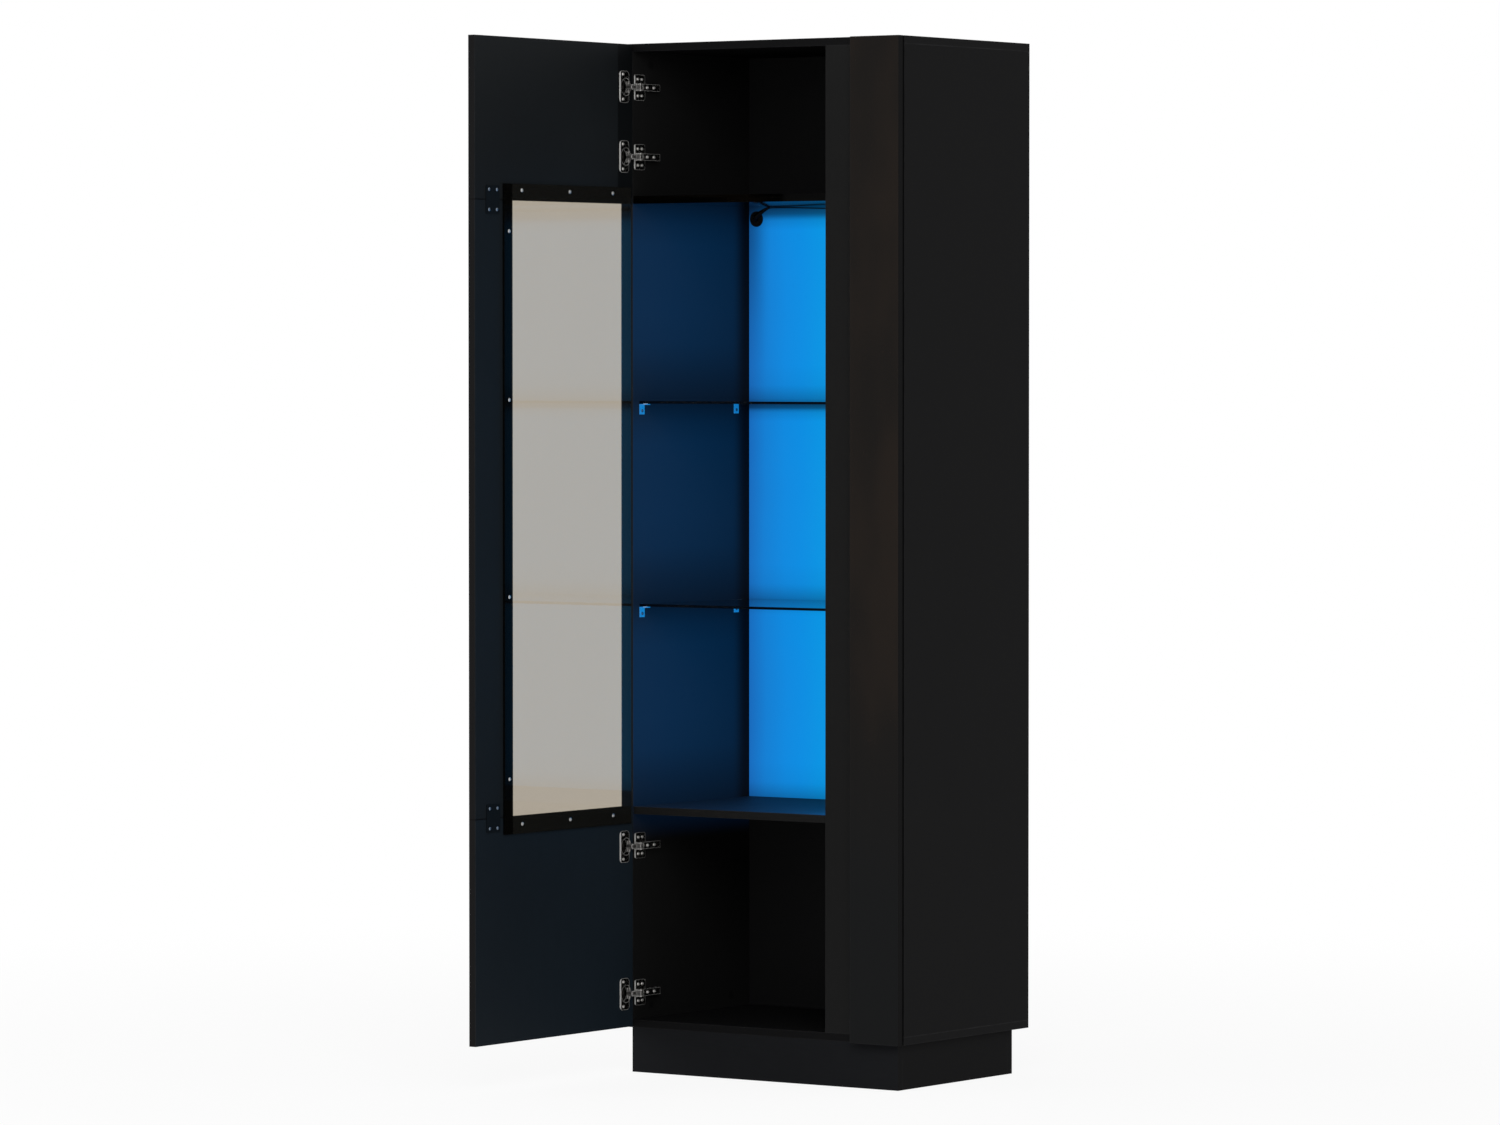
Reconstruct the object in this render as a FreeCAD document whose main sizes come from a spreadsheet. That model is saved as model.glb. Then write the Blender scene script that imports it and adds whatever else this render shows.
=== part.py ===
import FreeCAD, Part
import math
import os
import Sketcher

# Handle-less display cabinet: a board carcass on a recessed plinth, a fixed gloss front panel,
# glass shelves, an LED strip behind the front stile and one glazed door on four concealed
# cup hinges.  Everything is drawn from the carcass's front left corner: x to the right from
# the left side's outer face, y to the back from the carcass's front edge, z up from the floor.
# The row's origin is on the floor under the middle of the plinth's front rail.
# The door stands open at 90 degrees; its pieces are drawn closed and then swung open.

Vector = FreeCAD.Vector
Rotation = FreeCAD.Rotation
Placement = FreeCAD.Placement

UP = Vector(0, 0, 1)
doc = FreeCAD.newDocument("DisplayCabinet")

# ---------------------------------------------------------------- driving dimensions

SIZES = {
    # carcass
    "body_width": 650, "body_depth": 435, "body_height": 2000, "board": 15,
    "back_thickness": 3.5, "back_recess": 39, "groove_depth": 6, "groove_play": 0.2,
    "lower_bay": 401, "upper_bay": 280, "stile_width": 166,
    # plinth
    "plinth_height": 87, "plinth_side_inset": 13, "plinth_back_inset": 39,
    # fixed gloss panel beside the door
    "panel_width": 111, "door_gap": 5, "spacer_radius": 14, "panel_end_inset": 120,
    "panel_hole_inset": 38,
    # glass shelves and their brackets
    "shelf_glass": 5, "glass_rise": 389, "glass_pitch": 395, "glass_setback": 20,
    "glass_side_gap": 1, "glass_back_gap": 1.5, "shelf_setback": 1.5, "bracket_width": 15,
    "bracket_height": 20, "bracket_reach": 15, "bracket_steel": 1.5, "pad_radius": 4.5,
    "pad_height": 1,
    "bracket_front": 28.5, "bracket_back": 46,
    # door
    "door_width": 504, "door_board": 15, "side_reveal": 1, "top_reveal": 1,
    "bottom_reveal": 2, "door_top_height": 309, "door_bottom_height": 430,
    "door_stile_width": 112, "door_glass": 4, "glass_side_lap": 25, "glass_top_lap": 31,
    "glass_bottom_lap": 33, "glass_hinge_inset": 10, "glass_screw_top": 12,
    "glass_screw_bottom": 18, "glass_screw_side": 15,
    "row_screw_start": 70, "row_screw_near": 139, "row_screw_far": 153, "side_screw_low": 72,
    "side_screw_low_pitch": 346, "side_screw_high": 59, "side_screw_high_pitch": 320,
    "mend_width": 42, "mend_height": 54, "mend_steel": 1.5, "mend_inset": 34, "mend_corner": 3,
    "mend_hole_across": 24, "mend_hole_along": 38,
    # concealed hinge, measured from the side's inner face and the closed door's inner face
    "hinge_top_inset": 83, "hinge_top_pitch": 135, "hinge_bottom_inset": 65,
    "hinge_bottom_pitch": 287, "cup_radius": 17.5, "cup_depth": 11.5, "cup_wall": 0.9,
    "cup_offset": 8.5, "flange_width": 30, "flange_height": 62, "flange_steel": 1.2, "flange_corner": 8,
    "flange_shift": 5.5, "cup_screw_shift": 9.5, "cup_screw_span": 48,
    "arm_pin_out": 15.5, "arm_pin_back": 8.7, "cup_pin_out": -4.8, "cup_pin_deep": 2.2,
    "inner_pin_out": -5.5, "inner_pin_deep": 7, "inner_link_length": 18.3,
    "knee_out": 4.6, "knee_deep": 7.3, "inner_knee_out": 6.5, "inner_knee_deep": 7.9,
    "link_turn": 15.2, "link_half": 1.8, "pin_radius": 1, "pin_play": 0.05,
    "inner_link_half": 2.8, "bar_inner": 3.4, "bar_thick": 1.4, "cheek_inner": 5.4,
    "cheek_thick": 1.2, "nose_radius": 3, "arm_height": 12, "arm_foot": 2.5,
    "nose_end": 14, "step_end": 26, "arm_end": 78, "plate_front": 9, "plate_length": 34,
    "plate_height": 50, "plate_steel": 1.5, "plate_corner": 5, "rail_setback": 6,
    "rail_length": 58, "rail_half": 5, "plate_screw_front": 10.5, "plate_screw_pitch": 13,
    "plate_screw_span": 32, "adjuster_back": 36, "fixing_back": 58, "arm_screw_radius": 2,
    "door_swing": 90,
    # lighting
    "strip_width": 10, "strip_thick": 2.2, "strip_end_gap": 6, "lead_radius": 1.2,
    "lead_pitch": 5, "cable_hole_radius": 12.5, "cable_hole_x": 33, "cable_hole_drop": 23.5,
    "grommet_radius": 15.5,
    # knock-down fittings
    "cam_radius": 7.5, "cam_height": 12, "cam_setback": 24, "bolt_radius": 3.5,
    "dowel_radius": 4, "dowel_length": 28, "fitting_front": 60, "fitting_back": 62.5,
    "dowel_shift": 32,
}

sheet = doc.addObject("Spreadsheet::Sheet", "Sizes")
for row, (name, value) in enumerate(SIZES.items(), start=1):
    sheet.set("A%d" % row, name)
    sheet.set("B%d" % row, str(value))
    sheet.setAlias("B%d" % row, name)
doc.recompute()


def cell(name):
    """The value of one named size."""
    return float(sheet.get(name))


W, D, H, T = (cell(n) for n in ("body_width", "body_depth", "body_height", "board"))

# The levels and planes that several pieces share, as expressions on the sheet.
S = "Sizes."
BOTTOM_TOP = "(Sizes.plinth_height + Sizes.board)"
TOP_UNDER = "(Sizes.body_height - Sizes.board)"
LOW_UNDER = "(Sizes.plinth_height + Sizes.board + Sizes.lower_bay)"
LOW_TOP = "(Sizes.plinth_height + 2 * Sizes.board + Sizes.lower_bay)"
HIGH_TOP = "(Sizes.body_height - Sizes.board - Sizes.upper_bay)"
HIGH_UNDER = "(Sizes.body_height - 2 * Sizes.board - Sizes.upper_bay)"
INNER_RIGHT = "(Sizes.body_width - Sizes.board)"
STILE_LEFT = "(Sizes.body_width - Sizes.board - Sizes.stile_width)"
BACK_REAR = "(Sizes.body_depth - Sizes.back_recess)"
BACK_FACE = "(Sizes.body_depth - Sizes.back_recess - Sizes.back_thickness)"
PANEL_LEFT = "(Sizes.body_width - Sizes.panel_width)"
DOOR_TOP = "(Sizes.body_height - Sizes.top_reveal)"
DOOR_BOTTOM = "(Sizes.plinth_height + Sizes.bottom_reveal)"
DOOR_END = "(Sizes.side_reveal + Sizes.door_width)"
SEAM_TOP = "(Sizes.body_height - Sizes.top_reveal - Sizes.door_top_height)"
SEAM_LOW = "(Sizes.plinth_height + Sizes.bottom_reveal + Sizes.door_bottom_height)"
GLASS_LEVELS = ("(%s + Sizes.glass_rise)" % LOW_TOP,
                "(%s + Sizes.glass_rise + Sizes.glass_pitch)" % LOW_TOP)


workings = doc.addObject("Spreadsheet::Sheet", "Workings")


def level(expression):
    """The number that an expression on the sheet stands for."""
    workings.set("A1", "=" + expression)
    workings.recompute()
    return float(workings.get("A1"))


# ---------------------------------------------------------------- drawing helpers

nodes = {}
ROW_X = "-Sizes.body_width / 2"
ROW_Y = "-Sizes.board / 2"
TO_ROW = Placement(Vector(-W / 2, -T / 2, 0), Rotation())


def new_body(name):
    """A PartDesign body, drawn in cabinet coordinates and moved to the row's origin."""
    body = doc.addObject("PartDesign::Body", name)
    body.Label = name
    body.setExpression("Placement.Base.x", ROW_X)
    body.setExpression("Placement.Base.y", ROW_Y)
    return body


def plane_of(body, role):
    return next(f for f in body.Origin.OriginFeatures if f.Role == role)


def new_sketch(body, role, offset="0"):
    """A sketch on one of the body's own planes; offset is an expression along its normal."""
    sketch = body.newObject("Sketcher::SketchObject", body.Name + "Sketch")
    sketch.AttachmentSupport = (plane_of(body, role), [""])
    sketch.MapMode = "FlatFace"
    sketch.setExpression("AttachmentOffset.Base.z", offset)
    return sketch


def bind(sketch, constraint, expression):
    index = sketch.addConstraint(constraint)
    sketch.setExpression("Constraints[%d]" % index, expression)


def polygon(sketch, corners):
    """A closed outline; each corner is a pair of expressions."""
    places = [Vector(level(a), level(b), 0) for a, b in corners]
    count = len(places)
    first = sketch.GeometryCount
    for i in range(count):
        sketch.addGeometry(Part.LineSegment(places[i], places[(i + 1) % count]), False)
    for i in range(count):
        sketch.addConstraint(Sketcher.Constraint(
            "Coincident", first + i, 2, first + (i + 1) % count, 1))
    for i, (across, along) in enumerate(corners):
        bind(sketch, Sketcher.Constraint("DistanceX", -1, 1, first + i, 1, places[i].x), across)
        bind(sketch, Sketcher.Constraint("DistanceY", -1, 1, first + i, 1, places[i].y), along)


def rectangle(sketch, low_a, low_b, high_a, high_b):
    polygon(sketch, [(low_a, low_b), (high_a, low_b), (high_a, high_b), (low_a, high_b)])


def circle(sketch, across, along, radius):
    centre = Vector(level(across), level(along), 0)
    index = sketch.addGeometry(Part.Circle(centre, UP, level(radius)), False)
    bind(sketch, Sketcher.Constraint("DistanceX", -1, 1, index, 3, centre.x), across)
    bind(sketch, Sketcher.Constraint("DistanceY", -1, 1, index, 3, centre.y), along)
    bind(sketch, Sketcher.Constraint("Radius", index, level(radius)), radius)


def feature(body, kind, sketch, length, toward, symmetric=False):
    """A Pad or Pocket of a sketch; toward is the way it goes along the plane's normal."""
    item = body.newObject("PartDesign::" + kind, body.Name + kind)
    item.Profile = sketch
    item.setExpression("Length", length)
    if symmetric:
        item.SideType = "Symmetric"
    else:
        item.Reversed = (toward < 0) if kind == "Pad" else (toward > 0)
    sketch.Visibility = False
    doc.recompute()
    body.Tip = item
    return item


def cut(body, sketch, length, toward, symmetric=False):
    """A pocket that is checked to have removed something."""
    before = body.Shape.Volume
    item = feature(body, "Pocket", sketch, length, toward, symmetric)
    if body.Shape.Volume >= before:
        raise RuntimeError("a pocket of %s removed nothing" % body.Label)
    return item


def round_edges(body, radius, wanted):
    """Rounds the edges of the body's last feature that the test picks."""
    base = body.Tip
    item = body.newObject("PartDesign::Fillet", body.Name + "Fillet")
    item.Base = (base, ["Edge%d" % (i + 1) for i, edge in enumerate(base.Shape.Edges)
                        if wanted(edge)])
    item.setExpression("Radius", radius)
    base.Visibility = False
    doc.recompute()
    body.Tip = item


def runs_along(edge, axis):
    """Whether an edge is straight and parallel to an axis."""
    if edge.Curve.TypeId != "Part::GeomLine":
        return False
    return abs(abs(edge.tangentAt(edge.FirstParameter).dot(axis)) - 1) < 1e-6


# A board lies in one of three planes: flat (XY), facing (XZ) or side on (YZ).
# PartDesign's XZ plane looks along -y, so offsets and lengths there change sign.
PLANES = {"flat": ("XY_Plane", 1), "facing": ("XZ_Plane", -1), "side": ("YZ_Plane", 1)}


def board(name, lie, low, high, start, thickness):
    """A plain board from its outline's two corners, its near face and its thickness."""
    role, sign = PLANES[lie]
    body = new_body(name)
    sketch = new_sketch(body, role, start if sign > 0 else "-(%s)" % start)
    rectangle(sketch, low[0], low[1], high[0], high[1])
    feature(body, "Pad", sketch, thickness, sign)
    nodes[name] = body
    return body


def holes(body, lie, places, radius, start, depth, toward):
    """Round holes that start at a plane and go one way along the axis across the board."""
    role, sign = PLANES[lie]
    sketch = new_sketch(body, role, start if sign > 0 else "-(%s)" % start)
    for across, along in places:
        circle(sketch, across, along, radius)
    return cut(body, sketch, depth, toward * sign)


def group(name, shapes):
    """Identical small pieces that share one node, as separate solids."""
    item = doc.addObject("Part::Feature", name)
    item.Label = name
    item.Shape = Part.makeCompound(shapes)
    item.Placement = TO_ROW
    nodes[name] = item
    return item


def rod(start, end, radius):
    axis = end - start
    return Part.makeCylinder(radius, axis.Length, start, axis)


def placed(shape, position, rotation=Rotation()):
    copy = shape.copy()
    copy.Placement = Placement(position, rotation).multiply(copy.Placement)
    return copy


def screw(head_radius, head_height, shank_radius, shank_length):
    """A screw along +z, the underside of its domed head at the origin, with a cross slot."""
    rim = Part.makeCylinder(head_radius, head_height / 2)
    dome = Part.makeCone(head_radius, head_radius * 0.7, head_height / 2,
                         Vector(0, 0, head_height / 2))
    shank = Part.makeCylinder(shank_radius, shank_length, Vector(0, 0, -shank_length))
    solid = rim.fuse([dome, shank])
    slot_width, slot_depth = head_radius * 0.3, head_height * 0.5
    for turn in (0, 90):
        slot = Part.makeBox(head_radius * 1.2, slot_width, slot_depth * 2,
                            Vector(-head_radius * 0.6, -slot_width / 2, head_height - slot_depth))
        slot.rotate(Vector(), UP, turn)
        solid = solid.cut(slot)
    return solid.removeSplitter()


# ---------------------------------------------------------------- carcass

# Bottom and top lie over the ends of the sides; both, and the sides, are grooved for the back.
GROOVE_FRONT = "(%s - Sizes.groove_play / 2)" % BACK_FACE
GROOVE_REAR = "(%s + Sizes.groove_play / 2)" % BACK_REAR


def groove_flat(body, face, toward):
    """The back panel's groove across a flat board, from the face it opens on."""
    sketch = new_sketch(body, "XY_Plane", face)
    rectangle(sketch, "Sizes.board - Sizes.groove_depth", GROOVE_FRONT,
              INNER_RIGHT + " + Sizes.groove_depth", GROOVE_REAR)
    cut(body, sketch, "Sizes.groove_depth", toward)


# Each corner has two cam fittings, each with a dowel behind it.
FITTING_Y = ("Sizes.fitting_front", "(%s - Sizes.fitting_back)" % BACK_FACE)
DOWEL_Y = tuple("(%s + Sizes.dowel_shift)" % y for y in FITTING_Y)
SIDE_MIDDLES = ("Sizes.board / 2", "(Sizes.body_width - Sizes.board / 2)")
HALF_DOWEL = "Sizes.dowel_length / 2"

bottom_panel = board("bottom_panel", "flat", ("0", "0"), (S + "body_width", S + "body_depth"),
                     S + "plinth_height", S + "board")
top_panel = board("top_panel", "flat", ("0", "0"), (S + "body_width", S + "body_depth"),
                  TOP_UNDER, S + "board")
for panel, face, toward in ((bottom_panel, BOTTOM_TOP, -1), (top_panel, TOP_UNDER, 1)):
    groove_flat(panel, face, toward)
    bolt_places = [(x, y) for x in SIDE_MIDDLES for y in FITTING_Y]
    dowel_places = [(x, y) for x in SIDE_MIDDLES for y in DOWEL_Y]
    holes(panel, "flat", bolt_places, S + "bolt_radius", face, "Sizes.board * 0.7", toward)
    holes(panel, "flat", dowel_places, S + "dowel_radius", face, "Sizes.board * 0.7", toward)


def side_panel(name, start, inner_face, inward):
    """A side between bottom and top; inward is the way from it to the compartments."""
    body = board(name, "side", ("0", BOTTOM_TOP), (S + "body_depth", TOP_UNDER),
                 start, S + "board")
    sketch = new_sketch(body, "YZ_Plane", inner_face)
    rectangle(sketch, GROOVE_FRONT, BOTTOM_TOP, GROOVE_REAR, TOP_UNDER)
    cut(body, sketch, "Sizes.groove_depth", -inward)
    cam_places = []
    for y in FITTING_Y:
        cam_places.append((y, "(%s + Sizes.cam_setback)" % BOTTOM_TOP))
        cam_places.append((y, "(%s - Sizes.cam_setback)" % TOP_UNDER))
    holes(body, "side", cam_places, S + "cam_radius", inner_face, S + "cam_height", -inward)
    for end, toward in ((BOTTOM_TOP, 1), (TOP_UNDER, -1)):
        middle = "(%s - (%d) * Sizes.board / 2)" % (inner_face, inward)
        holes(body, "flat", [(middle, y) for y in FITTING_Y], S + "bolt_radius",
              end, S + "cam_setback", toward)
        holes(body, "flat", [(middle, y) for y in DOWEL_Y], S + "dowel_radius",
              end, "Sizes.dowel_length - Sizes.board * 0.7", toward)
    return body


side_panel("left_side_panel", "0", "Sizes.board", 1)
side_panel("right_side_panel", INNER_RIGHT, INNER_RIGHT, -1)

back_reach = "(Sizes.groove_depth - Sizes.groove_play)"
back_panel = board("back_panel", "facing",
                   ("Sizes.board - " + back_reach, BOTTOM_TOP + " - " + back_reach),
                   (INNER_RIGHT + " + " + back_reach, TOP_UNDER + " + " + back_reach),
                   BACK_FACE, S + "back_thickness")
CABLE_Z = "(%s - Sizes.cable_hole_drop)" % HIGH_UNDER
holes(back_panel, "facing", [(S + "cable_hole_x", CABLE_Z)], S + "cable_hole_radius",
      BACK_FACE, S + "back_thickness", 1)


def fixed_shelf(name, under):
    """A shelf between the sides, notched round the stile."""
    body = new_body(name)
    sketch = new_sketch(body, "XY_Plane", under)
    polygon(sketch, [("Sizes.board", "Sizes.shelf_setback"), (STILE_LEFT, "Sizes.shelf_setback"),
                     (STILE_LEFT, "Sizes.board"),
                     (INNER_RIGHT, "Sizes.board"), (INNER_RIGHT, BACK_FACE),
                     ("Sizes.board", BACK_FACE)])
    feature(body, "Pad", sketch, S + "board", 1)
    nodes[name] = body


fixed_shelf("lower_fixed_shelf", LOW_UNDER)
fixed_shelf("upper_fixed_shelf", HIGH_UNDER)

front_stile = board("front_stile", "facing", (STILE_LEFT, BOTTOM_TOP), (INNER_RIGHT, TOP_UNDER),
                    "0", S + "board")

# ---------------------------------------------------------------- fixed gloss panel

front_panel = board("front_panel", "facing", (PANEL_LEFT, S + "plinth_height"),
                    (S + "body_width", S + "body_height"),
                    "-Sizes.door_gap - Sizes.door_board", S + "door_board")
PANEL_X = "(%s + Sizes.panel_hole_inset)" % PANEL_LEFT
panel_low = level(S + "plinth_height") + cell("panel_end_inset")
panel_high = H - cell("panel_end_inset")
PANEL_COUNT = 4
panel_step = (panel_high - panel_low) / (PANEL_COUNT - 1)
panel_x = level(PANEL_X)
spacers, panel_screws = [], []
screw_shank, screw_hole = 1.8, 2.0
for i in range(PANEL_COUNT):
    z = panel_low + i * panel_step
    disc = rod(Vector(panel_x, 0, z), Vector(panel_x, -cell("door_gap"), z), cell("spacer_radius"))
    bore = rod(Vector(panel_x, 0, z), Vector(panel_x, -cell("door_gap"), z), screw_hole)
    spacers.append(disc.cut(bore))
    length = T + cell("door_gap") + cell("door_board") * 0.7
    panel_screws.append(placed(screw(4.0, 2.2, screw_shank, length), Vector(panel_x, T, z),
                               Rotation(UP, Vector(0, 1, 0))))
SCREW_LEVELS = ["(Sizes.plinth_height + Sizes.panel_end_inset + %d * (Sizes.body_height"
                " - Sizes.plinth_height - 2 * Sizes.panel_end_inset) / %d)"
                % (i, PANEL_COUNT - 1) for i in range(PANEL_COUNT)]
holes(front_stile, "facing", [(PANEL_X, z) for z in SCREW_LEVELS], str(screw_hole),
      "0", S + "board", 1)
holes(front_panel, "facing", [(PANEL_X, z) for z in SCREW_LEVELS], str(screw_shank),
      "-Sizes.door_gap", "Sizes.door_board * 0.7", -1)
group("front_panel_spacers", spacers)
group("front_panel_screws", panel_screws)

# ---------------------------------------------------------------- plinth

PLINTH_LEFT = S + "plinth_side_inset"
PLINTH_RIGHT = "(Sizes.body_width - Sizes.plinth_side_inset)"
PLINTH_BACK = "(Sizes.body_depth - Sizes.plinth_back_inset)"
board("plinth_front_rail", "facing", (PLINTH_LEFT, "0"), (PLINTH_RIGHT, S + "plinth_height"),
      "0", S + "board")
board("plinth_back_rail", "facing", (PLINTH_LEFT, "0"), (PLINTH_RIGHT, S + "plinth_height"),
      PLINTH_BACK + " - Sizes.board", S + "board")
for name, start in (("plinth_left_rail", PLINTH_LEFT),
                    ("plinth_right_rail", PLINTH_RIGHT + " - Sizes.board")):
    board(name, "side", ("Sizes.board", "0"), (PLINTH_BACK + " - Sizes.board",
          S + "plinth_height"), start, S + "board")

# ---------------------------------------------------------------- knock-down fittings

cams, bolts, dowels = [], [], []
tooth = 0.7 * T
for inner_x, inward in ((T, 1), (W - T, -1)):
    middle = inner_x - inward * T / 2
    for end, toward in ((level(BOTTOM_TOP), 1), (level(TOP_UNDER), -1)):
        cam_z = end + toward * cell("cam_setback")
        for y_bolt, y_dowel in zip(FITTING_Y, DOWEL_Y):
            y = level(y_bolt)
            cam = rod(Vector(inner_x, y, cam_z),
                      Vector(inner_x - inward * cell("cam_height"), y, cam_z), cell("cam_radius"))
            # the lock's mouth takes the bolt's head, and its face has a cross for a driver
            mouth = rod(Vector(middle, y, cam_z - toward * cell("cam_radius")),
                        Vector(middle, y, cam_z), cell("bolt_radius"))
            cams.append(cam.cut(mouth))
            bolts.append(rod(Vector(middle, y, end - toward * tooth),
                             Vector(middle, y, cam_z), cell("bolt_radius")))
            y = level(y_dowel)
            dowels.append(rod(Vector(middle, y, end - toward * tooth),
                              Vector(middle, y, end + toward * (cell("dowel_length") - tooth)),
                              cell("dowel_radius")))
cam_locks = group("cam_locks", cams)
group("cam_bolts", bolts)
group("dowels", dowels)

# ---------------------------------------------------------------- glass shelves

for name, under in zip(("glass_shelf_lower", "glass_shelf_upper"), GLASS_LEVELS):
    board(name, "flat", ("Sizes.board + Sizes.glass_side_gap", S + "glass_setback"),
          (INNER_RIGHT + " - Sizes.glass_side_gap", BACK_FACE + " - Sizes.glass_back_gap"),
          under, S + "shelf_glass")

BRACKET_Y = (S + "bracket_front", "(%s - Sizes.bracket_back)" % BACK_FACE)
brackets, bracket_screws, pads = [], [], []
steel = cell("bracket_steel")
leg_height, reach, bracket_width = (cell(n) for n in
                                    ("bracket_height", "bracket_reach", "bracket_width"))
bracket_hole = 1.6
for under in (level(z) for z in GLASS_LEVELS):
    seat = under - cell("pad_height")
    for side_x, inward in ((T, 1), (W - T, -1)):
        for y in (level(place) for place in BRACKET_Y):
            low_x = min(side_x, side_x + inward * steel)
            leg = Part.makeBox(steel, bracket_width, leg_height,
                               Vector(low_x, y - bracket_width / 2, seat - leg_height))
            low_x = min(side_x, side_x + inward * reach)
            arm = Part.makeBox(reach, bracket_width, steel,
                               Vector(low_x, y - bracket_width / 2, seat - steel))
            screw_z = seat - leg_height * 0.65
            bore = rod(Vector(side_x, y, screw_z),
                       Vector(side_x + inward * steel, y, screw_z), bracket_hole)
            brackets.append(leg.fuse(arm).cut(bore).removeSplitter())
            bracket_screws.append(placed(
                screw(3.2, 1.6, bracket_hole, T * 0.8),
                Vector(side_x + inward * steel, y, screw_z), Rotation(UP, Vector(inward, 0, 0))))
            pad_x = side_x + inward * reach * 0.6
            pads.append(rod(Vector(pad_x, y, seat), Vector(pad_x, y, under), cell("pad_radius")))
group("shelf_brackets", brackets)
group("shelf_bracket_screws", bracket_screws)
group("shelf_pads", pads)
bracket_places = [(y, "(%s - Sizes.pad_height - Sizes.bracket_height * 0.65)" % z)
                  for z in GLASS_LEVELS for y in BRACKET_Y]
holes(nodes["left_side_panel"], "side", bracket_places, str(bracket_hole),
      S + "board", "Sizes.board * 0.8", -1)
holes(nodes["right_side_panel"], "side", bracket_places, str(bracket_hole),
      INNER_RIGHT, "Sizes.board * 0.8", 1)

# ---------------------------------------------------------------- hinge linkage in plan

GAP = cell("door_gap")


def hinge_point(out, deep):
    """A point from its distances to the side's inner face and the closed door's inner face."""
    return Vector(T + out, -GAP - deep, 0)


# Long link: pinned to the arm and to the cup.  Short link: pinned to the arm; its cup end is
# the linkage's open pivot.  Each link has a knee, so that it leaves the cup clear of the rim.
ARM_PIN = hinge_point(cell("arm_pin_out"), -cell("arm_pin_back"))
CUP_PIN = hinge_point(cell("cup_pin_out"), cell("cup_pin_deep"))
KNEE = hinge_point(cell("knee_out"), cell("knee_deep"))
INNER_CUP_PIN = hinge_point(cell("inner_pin_out"), cell("inner_pin_deep"))
INNER_KNEE = hinge_point(cell("inner_knee_out"), cell("inner_knee_deep"))

LINK_OPEN = Placement(Vector(), Rotation(UP, cell("link_turn")), ARM_PIN)
CUP_PIN_OPEN = LINK_OPEN.multVec(CUP_PIN)
DOOR_OPEN = Placement(CUP_PIN_OPEN - CUP_PIN, Rotation(UP, -cell("door_swing")), CUP_PIN)
INNER_OPEN_END = DOOR_OPEN.multVec(INNER_CUP_PIN)

# The short link's arm pin is as far from its cup end in both the closed and the open pose.
chord = INNER_OPEN_END - INNER_CUP_PIN
across = Vector(chord.y, -chord.x, 0).normalize()
if across.x < 0:
    across = -across
half_chord = chord.Length / 2
INNER_ARM_PIN = (INNER_CUP_PIN + chord * 0.5
                 + across * math.sqrt(cell("inner_link_length") ** 2 - half_chord ** 2))


def bearing(start, end):
    return math.degrees(math.atan2(end.y - start.y, end.x - start.x))


INNER_TURN = (bearing(INNER_ARM_PIN, INNER_OPEN_END)
              - bearing(INNER_ARM_PIN, INNER_CUP_PIN) + 180) % 360 - 180
INNER_OPEN = Placement(Vector(), Rotation(UP, INNER_TURN), INNER_ARM_PIN)

HINGE_LEVELS = ("(%s - Sizes.hinge_top_inset)" % DOOR_TOP,
                "(%s - Sizes.hinge_top_inset - Sizes.hinge_top_pitch)" % DOOR_TOP,
                "(%s + Sizes.hinge_bottom_inset + Sizes.hinge_bottom_pitch)" % DOOR_BOTTOM,
                "(%s + Sizes.hinge_bottom_inset)" % DOOR_BOTTOM)
HINGE_Z = [level(z) for z in HINGE_LEVELS]


def at_hinges(name, piece, motion=Placement()):
    """Copies of a hinge piece at each hinge's height, turned with its part of the linkage."""
    copies = []
    for z in HINGE_Z:
        for solid in piece.Solids:
            copy = solid.copy()
            copy.translate(Vector(0, 0, z))
            copy.Placement = motion.multiply(copy.Placement)
            copies.append(copy)
    return group(name, copies)


def strap(points, half, low, thick):
    """A flat bar with round ends that follows a line of points in plan."""
    parts = [Part.makeCylinder(half, thick, Vector(p.x, p.y, low)) for p in points]
    for start, end in zip(points, points[1:]):
        run = end - start
        box = Part.makeBox(run.Length, 2 * half, thick, Vector(0, -half, 0))
        box.Placement = Placement(Vector(start.x, start.y, low),
                                  Rotation(UP, bearing(start, end)))
        parts.append(box)
    return parts[0].fuse(parts[1:]).removeSplitter()


def upright_pin(centre, radius, low, high):
    return Part.makeCylinder(radius, high - low, Vector(centre.x, centre.y, low))


link_half, pin_radius = cell("link_half"), cell("pin_radius")
bore_radius = pin_radius + cell("pin_play")
bar_inner, bar_outer = cell("bar_inner"), cell("bar_inner") + cell("bar_thick")
cheek_inner, cheek_outer = cell("cheek_inner"), cell("cheek_inner") + cell("cheek_thick")
inner_half = cell("inner_link_half")

# Long link: two bars, one above and one below the short link, joined by a web near the arm.
long_line = [CUP_PIN, KNEE, ARM_PIN]
bars = [strap(long_line, link_half, low, cell("bar_thick")) for low in (bar_inner, -bar_outer)]
run = ARM_PIN - KNEE
web_from, web_to = 0.44, 0.86
web = Part.makeBox(run.Length * (web_to - web_from), cell("bar_thick"), 2 * bar_outer,
                   Vector(0, -link_half, -bar_outer))
web.Placement = Placement(KNEE + run * web_from, Rotation(UP, bearing(KNEE, ARM_PIN)))
long_link = bars[0].fuse([bars[1], web]).removeSplitter()
for pin in (CUP_PIN, ARM_PIN):
    long_link = long_link.cut(upright_pin(pin, bore_radius, -bar_outer, bar_outer))
at_hinges("hinge_outer_links", long_link, LINK_OPEN)

# Short link: one thick bar between them.
short_link = strap([INNER_CUP_PIN, INNER_KNEE, INNER_ARM_PIN], link_half,
                   -inner_half, 2 * inner_half)
for pin in (INNER_CUP_PIN, INNER_ARM_PIN):
    short_link = short_link.cut(upright_pin(pin, bore_radius, -inner_half, inner_half))
at_hinges("hinge_inner_links", short_link, INNER_OPEN)

# ---------------------------------------------------------------- hinge arm and plate


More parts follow.
